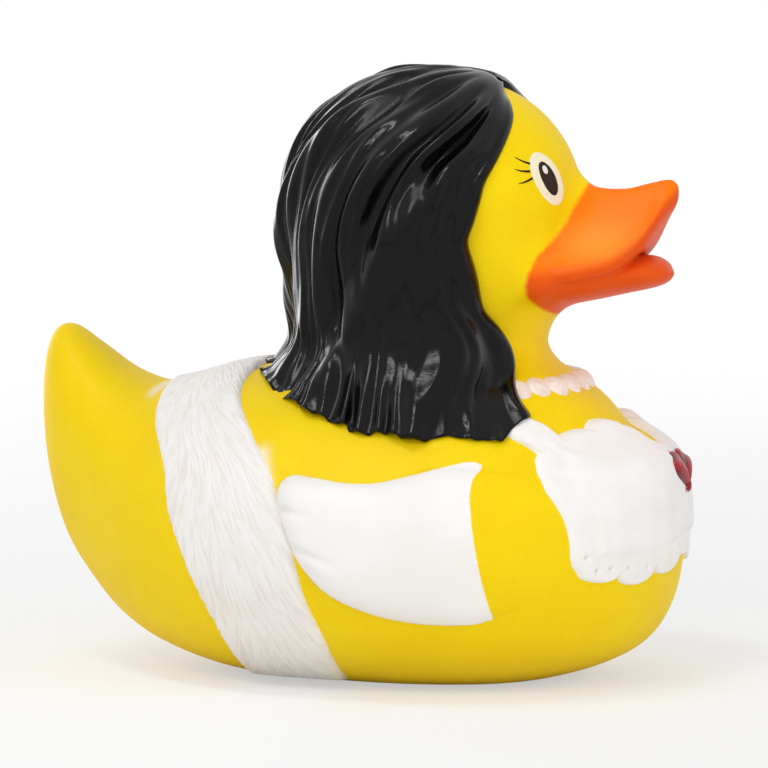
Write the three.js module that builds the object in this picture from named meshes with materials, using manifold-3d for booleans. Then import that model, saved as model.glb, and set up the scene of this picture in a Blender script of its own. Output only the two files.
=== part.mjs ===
// Rubber duck in evening dress: one hollow shell of cast vinyl, painted after moulding.
// Millimetres. +X is where the beak points, +Y is the duck's left, +Z is up, and the base is at z = 0.
// Hair, stole, wings, bib, necklace and bow are raised forms of the same casting, so all is one solid.
import * as THREE from "three";
import { mergeVertices } from "three/addons/utils/BufferGeometryUtils.js";
import Module from "manifold-3d";

const wasm = await Module();
wasm.setup();

// The casting
const WALL = 2.2; // thickness of the vinyl
const VENT_RADIUS = 1.6; // moulding vent in the base, which also lets air in and out
const VENT_X = 8;
const PAD_REACH = 80; // larger than the duck, for prisms and trimming boxes

// Body: from the tail's end to the breast, closed at both ends by a rounded envelope.
const TAIL_END = -51.2;
const BREAST_END = 50.2;
const END_ROUNDNESS = 2.5; // exponent of the envelope along x
const SECTION_ROUNDNESS = 2.2; // exponent of each section, where 2 is an ellipse
const BODY_STATIONS = [
  // x, height of the section's middle, half height, half width
  [-51.2, 42.0, 36.0, 16.0],
  [-47.2, 36.8, 32.4, 17.0],
  [-43.0, 32.3, 27.8, 18.5],
  [-37.0, 27.1, 24.3, 22.0],
  [-30.0, 24.2, 22.9, 26.5],
  [-18.0, 23.9, 24.2, 32.0],
  [0.0, 23.9, 25.0, 35.5],
  [22.0, 23.1, 25.4, 36.0],
  [40.0, 22.4, 26.8, 33.5],
  [50.2, 23.6, 33.0, 30.0],
];
const LEAST_HALF = 0.3; // no section shrinks below this
const BODY_RINGS = 26;
const BODY_SIDES = 32;

// Neck and head, in level sections from inside the shoulders to the crown.
const HEAD_STATIONS = [
  // z, middle x, half length, half width
  [34.0, 13.7, 25.0, 27.0],
  [42.0, 13.7, 23.0, 24.0],
  [45.7, 13.7, 20.4, 21.4],
  [48.5, 13.7, 17.0, 18.2],
  [52.0, 13.8, 15.3, 16.4],
  [57.0, 14.4, 16.6, 17.2],
  [63.0, 14.5, 18.6, 19.2],
  [72.6, 14.5, 19.9, 20.5],
  [82.0, 14.5, 17.4, 18.0],
  [88.5, 14.5, 11.8, 12.2],
  [91.6, 14.5, 4.6, 4.8],
];
const HEAD_RINGS = 17;
const HEAD_SIDES = 26;

// Upper bill: a dome over a rim that turns up towards the tip.
const BILL_ROOT = 24;
const BILL_TIP = 49.0;
const UPPER_BILL = [
  // x, ridge height, rim height, half width
  [24.0, 78.0, 62.0, 13.5],
  [33.0, 77.2, 63.2, 12.8],
  [37.0, 75.6, 63.8, 11.8],
  [41.5, 75.4, 65.2, 10.2],
  [45.0, 76.2, 67.8, 8.2],
  [47.6, 76.8, 72.0, 5.2],
  [49.0, 75.8, 74.8, 1.0],
];
// Lower bill: a rounded spoon under an open mouth.
const LOWER_BILL = [
  // x, middle height, half height, half width
  [24.0, 59.6, 4.2, 13.0],
  [31.0, 60.2, 4.5, 12.2],
  [37.0, 61.3, 3.8, 9.6],
  [42.0, 62.3, 3.1, 7.8],
  [46.0, 63.0, 2.6, 6.2],
  [48.0, 63.2, 1.7, 3.6],
  [48.8, 63.1, 0.3, 0.8],
];
const PALATE = 0.25; // how far the underside of the upper bill is hollowed, as a share of its height
const LIP = 0.4; // thickness of the upper bill's rim
const BILL_RINGS = 12;
const BILL_SIDES = 20;

// Hair: a thick cap that falls to the shoulders, cut to an outline seen from the side.
const HAIR_STATIONS = [
  // z, middle x, reach to the back, reach to the front, half width
  [34.0, 12.0, 27.5, 21.0, 31.5],
  [42.0, 12.0, 27.0, 20.5, 30.0],
  [46.5, 12.0, 26.0, 19.5, 28.0],
  [52.0, 12.5, 23.2, 17.0, 25.5],
  [60.0, 13.0, 24.3, 16.0, 24.6],
  [70.0, 13.0, 25.6, 17.0, 25.2],
  [78.0, 13.0, 24.8, 17.0, 23.8],
  [85.0, 13.0, 21.3, 15.5, 20.5],
  [90.0, 12.8, 15.0, 11.8, 15.0],
  [93.0, 12.6, 8.6, 8.0, 9.0],
  [94.3, 12.6, 1.5, 1.5, 1.5],
];
const HAIR_OUTLINE = [
  // Hairline beside the face, from the chest up to the parting
  [30.4, 41.8], [29.6, 45.0], [28.2, 48.2], [25.6, 53.1], [22.7, 57.7], [22.6, 62.3],
  [21.4, 67.0], [21.6, 70.5], [23.6, 76.0], [26.0, 83.4], [25.5, 88.0], [21.0, 92.5], [19.0, 97.0],
  // Over the crown and down the back
  [-20.0, 97.0], [-20.0, 49.5],
  // Hem across the shoulder, from the back to the chest
  [-15.5, 47.8], [-11.8, 46.8], [-6.4, 44.3], [-1.2, 42.5], [5.0, 40.8], [15.3, 38.9], [20.4, 40.0],
  [28.2, 39.0],
];
const HAIR_LOCKS = 18;
const LOCK_DEPTH = 0.9;
const HAIR_HOLLOW = { front: 18.5, bottom: 51 }; // planes between which the hollow reaches into the hair
const HAIR_RINGS = 13;
const HAIR_SIDES = 72;

// Fur stole: a raised band round the body, seen from the side.
const STOLE_RELIEF = 0.9;
const STOLE_OUTLINE = [
  // Rear edge, down from the back
  [-32.0, 52.0], [-29.6, 44.0], [-28.3, 39.8], [-24.6, 34.1], [-22.7, 27.0], [-18.4, 17.1], [-15.5, 10.0],
  [-12.4, -4.0],
  // Front edge, up from the base
  [2.6, -4.0], [2.2, 8.3], [0.0, 16.2], [-1.5, 23.0], [-5.6, 34.1], [-9.6, 39.2], [-14.6, 46.1],
  [-12.0, 52.0],
];

// Wing in a long glove, seen from the side: finger tips to the rear, cuff to the front.
const WING_RELIEF = { tip: 2.2, cuff: 0.6 }; // the fingers stand proud, the cuff lies close
const WING_OUTLINE = [
  [-4.2, 31.6], [-1.9, 33.9], [6.8, 33.0], [15.6, 34.2], [23.7, 36.0],
  [24.8, 29.5], [25.6, 23.9], [27.7, 13.1],
  [24.1, 12.1], [17.5, 12.2], [10.8, 13.4], [4.5, 16.0], [0.8, 19.4], [-1.4, 22.9], [-3.8, 29.0],
];

// Lace bib, seen from the front: a scalloped hem, plain sides, a dipped neckline and two straps.
const BIB_RELIEF = 0.9;
const BIB_CUSPS = [[0, 21.2], [6.3, 20.6], [12.7, 19.3], [19.0, 18.9], [25.0, 19.8]]; // between the scallops
const BIB_SCALLOP_DROP = 1.7;
const BIB_SIDE = [[25.8, 23.5], [25.9, 30.8], [26.1, 33.8], [24.6, 36.6]];
const BIB_STRAP = [[24.6, 46.0], [21.2, 46.0], [20.4, 39.0]];
const BIB_NECKLINE = [[17.8, 40.4], [15.4, 39.9], [12.5, 41.3], [9.0, 40.6], [5.0, 38.6], [2.0, 36.8]];

// Necklace: half-sunk beads round the root of the neck, from hair to hair.
const PEARL_RADIUS = 1.8;
const PEARLS = 11;
const PEARL_RING_RADIUS = 21.2;
const PEARL_RING_X = 13.7;
const PEARL_HEIGHT = 45.8;
const PEARL_SPREAD = 1.95; // radians, from the first bead to the last

// Bow on the breast: two loops that rise from a knot.
const BOW_HEIGHT = 29.6;
const BOW_LOOP = { length: 4.6, width: 2.3, relief: 1.5 }; // half sizes
const BOW_LOOP_PLACE = { out: 4.0, up: 3.4, sink: 0.9, lean: 0.95, pitch: 0.35 };
const BOW_KNOT = { radius: 1.6, sink: 0.2 };

const VINYL = new THREE.MeshStandardMaterial({ color: 0xf0cc12, roughness: 0.42, metalness: 0 });

// A closed geometry as a solid that can be joined and cut.
function solid(geometry) {
  geometry.deleteAttribute("normal");
  geometry.deleteAttribute("uv");
  const merged = mergeVertices(geometry, 1e-4);
  return new wasm.Manifold(
    new wasm.Mesh({
      numProp: 3,
      vertProperties: merged.attributes.position.array,
      triVerts: new Uint32Array(merged.index.array),
    }),
  );
}

function geometryOf(made) {
  const mesh = made.getMesh();
  return new THREE.BufferGeometry()
    .setAttribute("position", new THREE.BufferAttribute(mesh.vertProperties, 3))
    .setIndex(new THREE.BufferAttribute(mesh.triVerts, 1));
}

// The values of a table's columns at a place in its first column, on a smooth curve through the rows.
function sample(table, at) {
  let i = 0;
  while (i < table.length - 2 && at > table[i + 1][0]) i += 1;
  const slope = (j, k) => {
    const before = table[Math.max(j - 1, 0)];
    const after = table[Math.min(j + 1, table.length - 1)];
    return (after[k] - before[k]) / (after[0] - before[0]);
  };
  const span = table[i + 1][0] - table[i][0];
  const t = THREE.MathUtils.clamp((at - table[i][0]) / span, 0, 1);
  const curve = (k) =>
    table[i][k] * (1 + 2 * t) * (1 - t) ** 2 +
    table[i + 1][k] * t * t * (3 - 2 * t) +
    span * t * (1 - t) * (slope(i, k) * (1 - t) - slope(i + 1, k) * t);
  return table[i].slice(1).map((_, column) => curve(column + 1));
}

// A skin through rings of equally many points, closed at each end by a fan to the ring's middle.
function loft(rings) {
  const sides = rings[0].length;
  const points = rings.flat();
  const index = [];
  for (let r = 0; r < rings.length - 1; r += 1) {
    for (let s = 0; s < sides; s += 1) {
      const next = (s + 1) % sides;
      const [here, beyond] = [r * sides, (r + 1) * sides];
      index.push(here + s, here + next, beyond + next, here + s, beyond + next, beyond + s);
    }
  }
  [0, rings.length - 1].forEach((r) => {
    const middle = rings[r].reduce((sum, p) => sum.add(p), new THREE.Vector3()).divideScalar(sides);
    points.push(middle);
    for (let s = 0; s < sides; s += 1) {
      const edge = [r * sides + s, r * sides + ((s + 1) % sides)];
      index.push(points.length - 1, ...(r === 0 ? edge.reverse() : edge));
    }
  });
  const skin = (order) => solid(new THREE.BufferGeometry().setFromPoints(points).setIndex(order));
  return skin(index).volume() > 0 ? skin(index) : skin(index.reverse());
}

const steps = (count, from, to) =>
  Array.from({ length: count }, (_, i) => from + ((to - from) * i) / (count - 1));
const angles = (count) => Array.from({ length: count }, (_, i) => (2 * Math.PI * i) / count);
const rounded = (value, exponent) => Math.sign(value) * Math.abs(value) ** (2 / exponent);

// A flat outline as a solid: seen from the side (x, z) or from the front (y, z), through the whole duck.
function prism(outline, view) {
  const shape = new THREE.Shape(outline.map(([a, b]) => new THREE.Vector2(a, b)));
  const through = new THREE.ExtrudeGeometry(shape, { depth: PAD_REACH, bevelEnabled: false });
  const [x, y, z] = [new THREE.Vector3(1, 0, 0), new THREE.Vector3(0, 1, 0), new THREE.Vector3(0, 0, 1)];
  const basis = {
    side: new THREE.Matrix4().makeBasis(x, z, y.clone().negate()).setPosition(0, PAD_REACH / 2, 0),
    front: new THREE.Matrix4().makeBasis(y, z, x),
  };
  return solid(through.applyMatrix4(basis[view]));
}

// The body's skin, moved outwards by a distance that may change along x, or inwards for the hollow.
function body(growth = () => 0) {
  const middle = (TAIL_END + BREAST_END) / 2;
  const half = (BREAST_END - TAIL_END) / 2;
  const end = growth(middle) < 0 ? 1 - (2 * WALL) / half : 0.9995;
  const rings = steps(BODY_RINGS, -1, 1).map((turn) => {
    const along = end * Math.sin((turn * Math.PI) / 2);
    const x = middle + half * along;
    const grow = growth(x);
    const envelope = (1 - Math.abs(along) ** END_ROUNDNESS) ** (1 / END_ROUNDNESS);
    const [height, ...halves] = sample(BODY_STATIONS, x);
    const [halfHeight, halfWidth] = halves.map((half) => Math.max(half * envelope + grow, LEAST_HALF));
    return angles(BODY_SIDES).map((angle) => {
      const y = halfWidth * rounded(Math.cos(angle), SECTION_ROUNDNESS);
      const z = height + halfHeight * rounded(Math.sin(angle), SECTION_ROUNDNESS);
      return new THREE.Vector3(x + Math.max(grow, 0) * along, y, z);
    });
  });
  return loft(rings);
}

function neckAndHead(grow = 0) {
  const [bottom, top] = [HEAD_STATIONS[0][0], HEAD_STATIONS.at(-1)[0]];
  const rings = steps(HEAD_RINGS, bottom, top).map((z) => {
    const [x, halfLength, halfWidth] = sample(HEAD_STATIONS, z);
    return angles(HEAD_SIDES).map(
      (angle) =>
        new THREE.Vector3(
          x + Math.max(halfLength + grow, LEAST_HALF) * Math.cos(angle),
          Math.max(halfWidth + grow, LEAST_HALF) * Math.sin(angle),
          z + (z > (bottom + top) / 2 ? grow : 0),
        ),
    );
  });
  return loft(rings);
}

function upperBill() {
  const rings = steps(BILL_RINGS, BILL_ROOT, BILL_TIP).map((x) => {
    const [ridge, rim, halfWidth] = sample(UPPER_BILL, x);
    return angles(BILL_SIDES).map((angle) => {
      const across = rounded(Math.cos(angle), SECTION_ROUNDNESS);
      const rise = rounded(Math.sin(angle), SECTION_ROUNDNESS);
      const z = rise > 0 ? rim + (ridge - rim) * rise : rim - LIP - PALATE * (ridge - rim) * rise;
      return new THREE.Vector3(x, halfWidth * across, z);
    });
  });
  return loft(rings);
}

function lowerBill() {
  const rings = steps(BILL_RINGS, LOWER_BILL[0][0], LOWER_BILL.at(-1)[0]).map((x) => {
    const [height, halfHeight, halfWidth] = sample(LOWER_BILL, x);
    return angles(BILL_SIDES).map(
      (angle) => new THREE.Vector3(x, halfWidth * Math.cos(angle), height + halfHeight * Math.sin(angle)),
    );
  });
  return loft(rings);
}

// The hair's outer form with its locks, moved inwards by inset for the hollow.
function hairCap(inset = 0) {
  const [bottom, top] = [HAIR_STATIONS[0][0], HAIR_STATIONS.at(-1)[0] - inset];
  const rings = steps(HAIR_RINGS, -1, 1).map((turn) => {
    const z = bottom + ((top - bottom) * (1 + Math.sin((turn * Math.PI) / 2))) / 2;
    const [x, ...outer] = sample(HAIR_STATIONS, z);
    const [back, front, halfWidth] = outer.map((value) => value - inset);
    return angles(HAIR_SIDES).map((angle) => {
      const lock = 1 - (LOCK_DEPTH / halfWidth) * (1 - Math.abs(Math.sin((angle * HAIR_LOCKS) / 2)));
      const reach = Math.cos(angle) > 0 ? front : back;
      return new THREE.Vector3(x + reach * lock * Math.cos(angle), halfWidth * lock * Math.sin(angle), z);
    });
  });
  return loft(rings);
}

const hair = () => hairCap().intersect(prism(HAIR_OUTLINE, "side"));

const stole = () => body(() => STOLE_RELIEF).intersect(prism(STOLE_OUTLINE, "side"));

function wings() {
  const along = WING_OUTLINE.map(([x]) => x);
  const [tip, cuff] = [Math.min(...along), Math.max(...along)];
  const relief = (x) => THREE.MathUtils.mapLinear(x, tip, cuff, WING_RELIEF.tip, WING_RELIEF.cuff);
  return body((x) => Math.max(relief(x), WING_RELIEF.cuff)).intersect(prism(WING_OUTLINE, "side"));
}

// Half of the bib's outline in y, z from the middle of the hem to the middle of the neckline.
function bibHalf() {
  const hem = BIB_CUSPS.slice(1).flatMap(([y, z], i) => {
    const [fromY, fromZ] = BIB_CUSPS[i];
    const drop = (t) => BIB_SCALLOP_DROP * Math.sin(Math.PI * t) ** 0.7;
    return [0, 0.2, 0.4, 0.6, 0.8].map((t) => [fromY + (y - fromY) * t, fromZ + (z - fromZ) * t - drop(t)]);
  });
  return [...hem, BIB_CUSPS.at(-1), ...BIB_SIDE, ...BIB_STRAP, ...BIB_NECKLINE];
}

function bib() {
  const half = bibHalf();
  const mirrored = half.slice(1).map(([y, z]) => [-y, z]).reverse();
  return body(() => BIB_RELIEF).intersect(prism([...half, ...mirrored], "front"));
}

function necklace() {
  const beads = steps(PEARLS, -PEARL_SPREAD / 2, PEARL_SPREAD / 2).map((angle) => {
    const bead = new THREE.SphereGeometry(PEARL_RADIUS, 8, 6);
    bead.translate(
      PEARL_RING_X + PEARL_RING_RADIUS * Math.cos(angle),
      PEARL_RING_RADIUS * Math.sin(angle),
      PEARL_HEIGHT,
    );
    return solid(bead);
  });
  return wasm.Manifold.union(beads);
}

function bow() {
  const { length, width, relief } = BOW_LOOP;
  const { out, up, sink, lean, pitch } = BOW_LOOP_PLACE;
  const loops = [-1, 1].map((side) =>
    solid(
      new THREE.SphereGeometry(1, 10, 7)
        .scale(relief, width, length)
        .rotateX(-side * lean)
        .rotateY(-pitch)
        .translate(BREAST_END - sink, side * out, BOW_HEIGHT + up),
    ),
  );
  const knot = new THREE.SphereGeometry(BOW_KNOT.radius, 8, 6);
  knot.translate(BREAST_END - BOW_KNOT.sink, 0, BOW_HEIGHT);
  return wasm.Manifold.union([...loops, solid(knot)]);
}

// The hollow that the vinyl leaves inside as it coats the mould, and the vent that opens it to the air.
function hollow() {
  const floor = new THREE.BoxGeometry(3 * PAD_REACH, 2 * PAD_REACH, PAD_REACH);
  floor.translate(0, 0, WALL - PAD_REACH / 2);
  const vent = new THREE.CylinderGeometry(VENT_RADIUS, VENT_RADIUS, 6 * WALL, 16).rotateX(Math.PI / 2);
  const hairRoom = new THREE.BoxGeometry(PAD_REACH, PAD_REACH, PAD_REACH);
  hairRoom.translate(HAIR_HOLLOW.front - PAD_REACH / 2, 0, HAIR_HOLLOW.bottom + PAD_REACH / 2);
  return body(() => -WALL)
    .add(neckAndHead(-WALL))
    .add(hairCap(WALL).intersect(solid(hairRoom)))
    .subtract(solid(floor))
    .add(solid(vent.translate(VENT_X, 0, WALL)));
}

const belowBase = new THREE.BoxGeometry(3 * PAD_REACH, 2 * PAD_REACH, PAD_REACH);
belowBase.translate(0, 0, -PAD_REACH / 2);
const casting = wasm.Manifold.union([
  body(), neckAndHead(), upperBill(), lowerBill(), hair(), stole(), wings(), bib(), necklace(), bow(),
]);
const shell = geometryOf(casting.subtract(solid(belowBase)).subtract(hollow()));

// The origin is on the base, under the middle of the duck's length.
shell.computeBoundingBox();
shell.translate(-(shell.boundingBox.min.x + shell.boundingBox.max.x) / 2, 0, 0);

const duck = new THREE.Mesh(shell, VINYL);
duck.name = "duck";
const group = new THREE.Group();
group.add(duck);
export default group;
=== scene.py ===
"""A dressed rubber duck: a yellow vinyl casting with moulded and painted hair, clothes, beads and bow."""
import math

import bpy
import numpy as np
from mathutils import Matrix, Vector


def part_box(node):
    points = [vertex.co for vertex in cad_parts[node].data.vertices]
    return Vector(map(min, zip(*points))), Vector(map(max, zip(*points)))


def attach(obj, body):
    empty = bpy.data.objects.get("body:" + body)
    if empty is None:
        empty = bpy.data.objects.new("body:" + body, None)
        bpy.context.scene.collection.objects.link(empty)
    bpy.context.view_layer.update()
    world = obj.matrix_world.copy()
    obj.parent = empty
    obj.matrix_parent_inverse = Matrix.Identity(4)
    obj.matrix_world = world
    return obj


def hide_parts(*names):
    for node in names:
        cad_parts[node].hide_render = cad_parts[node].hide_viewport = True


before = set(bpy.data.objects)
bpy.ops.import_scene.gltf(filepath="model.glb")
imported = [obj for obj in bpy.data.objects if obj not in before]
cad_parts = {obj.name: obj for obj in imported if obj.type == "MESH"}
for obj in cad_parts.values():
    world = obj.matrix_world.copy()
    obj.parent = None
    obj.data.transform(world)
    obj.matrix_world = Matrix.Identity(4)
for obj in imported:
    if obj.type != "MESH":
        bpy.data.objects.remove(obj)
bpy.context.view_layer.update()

# The body of the duck: the lower half of one hollow vinyl casting, flat under the belly with an air hole,
# its folded wings moulded on and sprayed white as gloves. It is drawn in millimetres, like its CAD sections.
TAIL_END = -51.2
BREAST_END = 50.2
BODY_MIDDLE = (BREAST_END + TAIL_END) / 2
BODY_HALF_LENGTH = (BREAST_END - TAIL_END) / 2
END_ROUNDNESS = 2.5
SECTION_ROUNDNESS = 2.2
BODY_STATIONS = [  # x, middle z, half height, half width
    [TAIL_END, 42.0, 36.0, 16.0],
    [-47.2, 36.8, 32.4, 17.0],
    [-43.0, 32.3, 27.8, 18.5],
    [-37.0, 27.1, 24.3, 22.0],
    [-30.0, 24.2, 22.9, 26.5],
    [-18.0, 23.9, 24.2, 32.0],
    [0.0, 23.9, 25.0, 35.5],
    [22.0, 23.1, 25.4, 36.0],
    [40.0, 22.4, 26.8, 33.5],
    [BREAST_END, 23.6, 33.0, 30.0],
]
BASE_EDGE_ROUND = 0.8
VENT_X = 8.0
VENT_RADIUS = 1.6
VENT_DEPTH = 5.0
GLOVE = [  # x, z round the painted hand, from the thumb along the top to the cuff and back underneath
    (-4.2, 31.6), (-3.4, 33.2), (-1.9, 33.9), (1.6, 33.6), (6.8, 33.0), (11.2, 33.2), (15.6, 34.2),
    (19.8, 35.3), (23.7, 36.1), (25.6, 35.5), (24.8, 33.9), (24.6, 31.8), (24.8, 29.5), (25.6, 23.9),
    (26.6, 18.2), (27.4, 14.2), (27.5, 13.1), (26.4, 12.6), (24.1, 12.1), (17.5, 12.2), (10.8, 13.4),
    (4.5, 16.0), (0.9, 19.2), (-1.5, 22.8), (-3.9, 29.0),
]
ARM_FRONT = [(32.0, 34.2), (40.0, 32.0), (40.0, 20.0), (33.0, 15.4)]  # takes the place of the cuff in relief
CUFF_START, CUFF_STOP = 8, 16
ARM_RELIEF = [[-6.0, 2.3], [4.0, 2.0], [15.0, 1.3], [25.0, 0.8], [33.0, 0.3], [40.0, 0.0]]  # x, height
ARM_EDGE = 3.2
ARM_INNER_Y = 12.0  # relief and paint of the wings stay outside this
FINGER_CREASES = [((-3.9, 29.1), (2.7, 27.9)), ((-1.2, 23.5), (6.4, 20.6))]
CREASE_DEPTH = 0.75
CREASE_WIDTH = 0.5
HEAD_STATIONS = [  # z, middle x, half length, half width of the neck and the lower head
    [34.0, 13.7, 25.0, 27.0],
    [42.0, 13.7, 23.0, 24.0],
    [45.7, 13.7, 20.4, 21.4],
    [48.5, 13.7, 17.0, 18.2],
    [52.0, 13.8, 15.3, 16.4],
    [57.0, 14.4, 16.6, 17.2],
    [63.0, 14.5, 18.6, 19.2],
    [72.6, 14.5, 19.9, 20.5],
]
CROWN_CENTRE = (14.5, 0.0, 72.6)
CROWN_RADII = (19.9, 20.5, 19.6)
SHOULDER_BLEND = 5.5
THROAT_DEPTH = 1.4  # the skin is drawn in above the breast, where the bib's upper edge stands on it
THROAT_Z = 38.6
THROAT_HEIGHT = 3.0
THROAT_X = (28.0, 38.0)
SEAM_Z = 45.4
SEAM_FRONT_X = 27.0
SEAM_RISE = 0.45
BODY_CELL = 0.55  # size of the mesh's cells
BODY_BOX = ((-52.4, -39.1, -1.1), (51.6, 39.1, 66.0))  # searched for the skin
MODEL_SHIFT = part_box("duck")[0][0] * 1000 - TAIL_END
NO_GLOVE, NO_BILL = 40.0, -9.0  # well outside the paint
MISTS = [((-7.5, 36.6), (-5.9, 31.4), 1.1), ((-30.4, 45.0), (-31.2, 43.6), 0.7)]  # overspray by the stole
YELLOW_VINYL = (247, 214, 6)
DEEP_YELLOW = (242, 206, 2)
WHITE_PAINT = (244, 242, 240)
WHITE_SHADE = (240, 237, 234)


def rows(table, at):
    """The columns of a table of stations, smoothly interpolated at the given places."""
    table = np.array(table, float)
    places, values = table[:, 0], table[:, 1:]
    slopes = np.empty_like(values)
    slopes[1:-1] = (values[2:] - values[:-2]) / (places[2:] - places[:-2])[:, None]
    slopes[0] = (values[1] - values[0]) / (places[1] - places[0])
    slopes[-1] = (values[-1] - values[-2]) / (places[-1] - places[-2])
    at = np.clip(at, places[0], places[-1])
    low = np.clip(np.searchsorted(places, at, side="right") - 1, 0, len(places) - 2)
    width = places[low + 1] - places[low]
    t = (at - places[low]) / width
    return [
        v[low] * (1 + 2 * t) * (1 - t) ** 2 + m[low] * width * t * (1 - t) ** 2
        + v[low + 1] * t * t * (3 - 2 * t) + m[low + 1] * width * t * t * (t - 1)
        for v, m in zip(values.T, slopes.T)
    ]


def change(table, column, at, step=0.1):
    """How fast one of these columns changes."""
    return (rows(table, at + step)[column] - rows(table, at - step)[column]) / (2 * step)


def ease(start, end, value):
    """0 before start, 1 after end, with a smooth S between."""
    t = np.clip((value - start) / (end - start), 0, 1)
    return t * t * (3 - 2 * t)


def smooth_min(a, b, blend):
    mix = np.clip(0.5 + 0.5 * (b - a) / blend, 0, 1)
    return b + (a - b) * mix - blend * mix * (1 - mix)


def smooth_max(a, b, blend):
    return -smooth_min(-a, -b, blend)


def rolled(distance, reach):
    """0 at an edge and 1 from this reach on, round as a quarter circle between."""
    return np.sqrt(1 - (1 - np.clip(distance / reach, 0, 1)) ** 2)


def oval_distance(u, v, half_u, half_v):
    """Signed distance to an oval, measured from its middle."""
    reach = np.hypot(u, v) + 1e-6
    return reach - reach / np.maximum(np.hypot(u / half_u, v / half_v), 1e-6)


def rounded(outline, steps=6):
    """A closed outline drawn as a smooth curve through its points."""
    points = np.array(outline, float)
    before, after, beyond = np.roll(points, 1, 0), np.roll(points, -1, 0), np.roll(points, -2, 0)
    curve = []
    for t in np.arange(steps) / steps:
        curve.append(0.5 * (
            2 * points + (after - before) * t + (2 * before - 5 * points + 4 * after - beyond) * t ** 2
            + (3 * points - before - 3 * after + beyond) * t ** 3
        ))
    return np.stack(curve, 1).reshape(-1, 2)


def depth_inside(outline, u, v, far=6.0):
    """Signed distance from points to a closed outline, positive inside and held at -far well outside."""
    u, v = np.broadcast_arrays(u, v)
    low, high = outline.min(0) - far, outline.max(0) + far
    near = (u > low[0]) & (u < high[0]) & (v > low[1]) & (v < high[1])
    result = np.full(u.shape, -far)
    u, v = u[near], v[near]
    nearest = np.full(u.shape, far)
    inside = np.zeros(u.shape, bool)
    for (a0, a1), (b0, b1) in zip(outline, np.roll(outline, -1, 0)):
        e0, e1 = b0 - a0, b1 - a1
        t = np.clip(((u - a0) * e0 + (v - a1) * e1) / (e0 * e0 + e1 * e1), 0, 1)
        nearest = np.minimum(nearest, np.hypot(u - a0 - t * e0, v - a1 - t * e1))
        if a1 != b1:
            inside ^= ((a1 > v) != (b1 > v)) & (u < e0 * (v - a1) / e1 + a0)
    result[near] = np.where(inside, nearest, -nearest)
    return result


def trunk(x, y, z):
    """Signed distance, near enough, to the plain body before its relief and its flat base."""
    middle, half_height, half_width = rows(BODY_STATIONS, x)
    along = np.abs(x - BODY_MIDDLE) / BODY_HALF_LENGTH
    out, rise = np.abs(y) / half_width, np.abs(z - middle) / half_height
    spread = (out ** SECTION_ROUNDNESS + rise ** SECTION_ROUNDNESS + 1e-9) ** (1 / SECTION_ROUNDNESS)
    level = (spread ** END_ROUNDNESS + along ** END_ROUNDNESS) ** (1 / END_ROUNDNESS)
    section = (spread / level) ** (END_ROUNDNESS - 1) / spread ** (SECTION_ROUNDNESS - 1)
    slope = ((along / level) ** (END_ROUNDNESS - 1) / BODY_HALF_LENGTH) ** 2
    slope = slope + (section * out ** (SECTION_ROUNDNESS - 1) / half_width) ** 2
    slope = slope + (section * rise ** (SECTION_ROUNDNESS - 1) / half_height) ** 2
    return (level - 1) / np.sqrt(slope)


def stroke_distance(start, end, u, v):
    """Distance to a straight stroke, and how far along it the nearest point is."""
    e0, e1 = end[0] - start[0], end[1] - start[1]
    t = ((u - start[0]) * e0 + (v - start[1]) * e1) / (e0 * e0 + e1 * e1)
    held = np.clip(t, 0, 1)
    return np.hypot(u - start[0] - held * e0, v - start[1] - held * e1), held


arm_outline = rounded(GLOVE[:CUFF_START] + ARM_FRONT + GLOVE[CUFF_STOP:])
glove_outline = rounded(GLOVE)


def arm_relief(x, z):
    """How far the folded wing stands out of the body's side."""
    height = rows(ARM_RELIEF, x)[0] * rolled(depth_inside(arm_outline, x, z), ARM_EDGE)
    for start, end in FINGER_CREASES:
        distance, along = stroke_distance(start, end, x, z)
        height = height - CREASE_DEPTH * np.exp(-(distance / CREASE_WIDTH) ** 2) * (1 - along) * (height > 0)
    return np.maximum(height, 0)


def neck_and_head(x, y, z):
    middle, half_length, half_width = rows(HEAD_STATIONS, z)
    flare = change(HEAD_STATIONS, 1, z)
    ring = oval_distance(x - middle, y, half_length, half_width) / np.sqrt(1 + flare ** 2)
    ring = np.maximum(ring, HEAD_STATIONS[0][0] - z)
    dx, dy, dz = x - CROWN_CENTRE[0], y - CROWN_CENTRE[1], z - CROWN_CENTRE[2]
    a, b, c = CROWN_RADII
    level = np.sqrt((dx / a) ** 2 + (dy / b) ** 2 + (dz / c) ** 2) + 1e-6
    slope = np.sqrt((dx / a ** 2) ** 2 + (dy / b ** 2) ** 2 + (dz / c ** 2) ** 2) + 1e-6
    crown = level * (level - 1) / slope
    return np.where(dz > 0, crown, ring)


def plain_body(x, y, z):
    throat = THROAT_DEPTH * np.exp(-((z - THROAT_Z) / THROAT_HEIGHT) ** 2) * ease(*THROAT_X, x)
    body = trunk(x, y, z) + throat - arm_relief(x, z) * (np.abs(y) > ARM_INNER_Y)
    return smooth_max(body, -z, BASE_EDGE_ROUND)


def whole_skin(x, y, z):
    """Body and head without the bill."""
    return smooth_min(plain_body(x, y, z), neck_and_head(x, y, z), SHOULDER_BLEND)


def neck_seam(x):
    """The height at which the body's skin hands over to the head's, behind the beads and under the hair."""
    return SEAM_Z + SEAM_RISE * np.maximum(SEAM_FRONT_X - x, 0)


def body_skin(x, y, z):
    vent = np.maximum(np.hypot(x - VENT_X, y) - VENT_RADIUS, z - VENT_DEPTH)
    return np.maximum(np.maximum(whole_skin(x, y, z), -vent), z - neck_seam(x))


def slope_of(field, points, step=0.02):
    """The field's gradient at each point."""
    shifts = [[np.moveaxis(points + side * step * axis, -1, 0) for side in (1, -1)] for axis in np.eye(3)]
    return np.stack([field(*ahead) - field(*behind) for ahead, behind in shifts], -1) / (2 * step)


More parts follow.
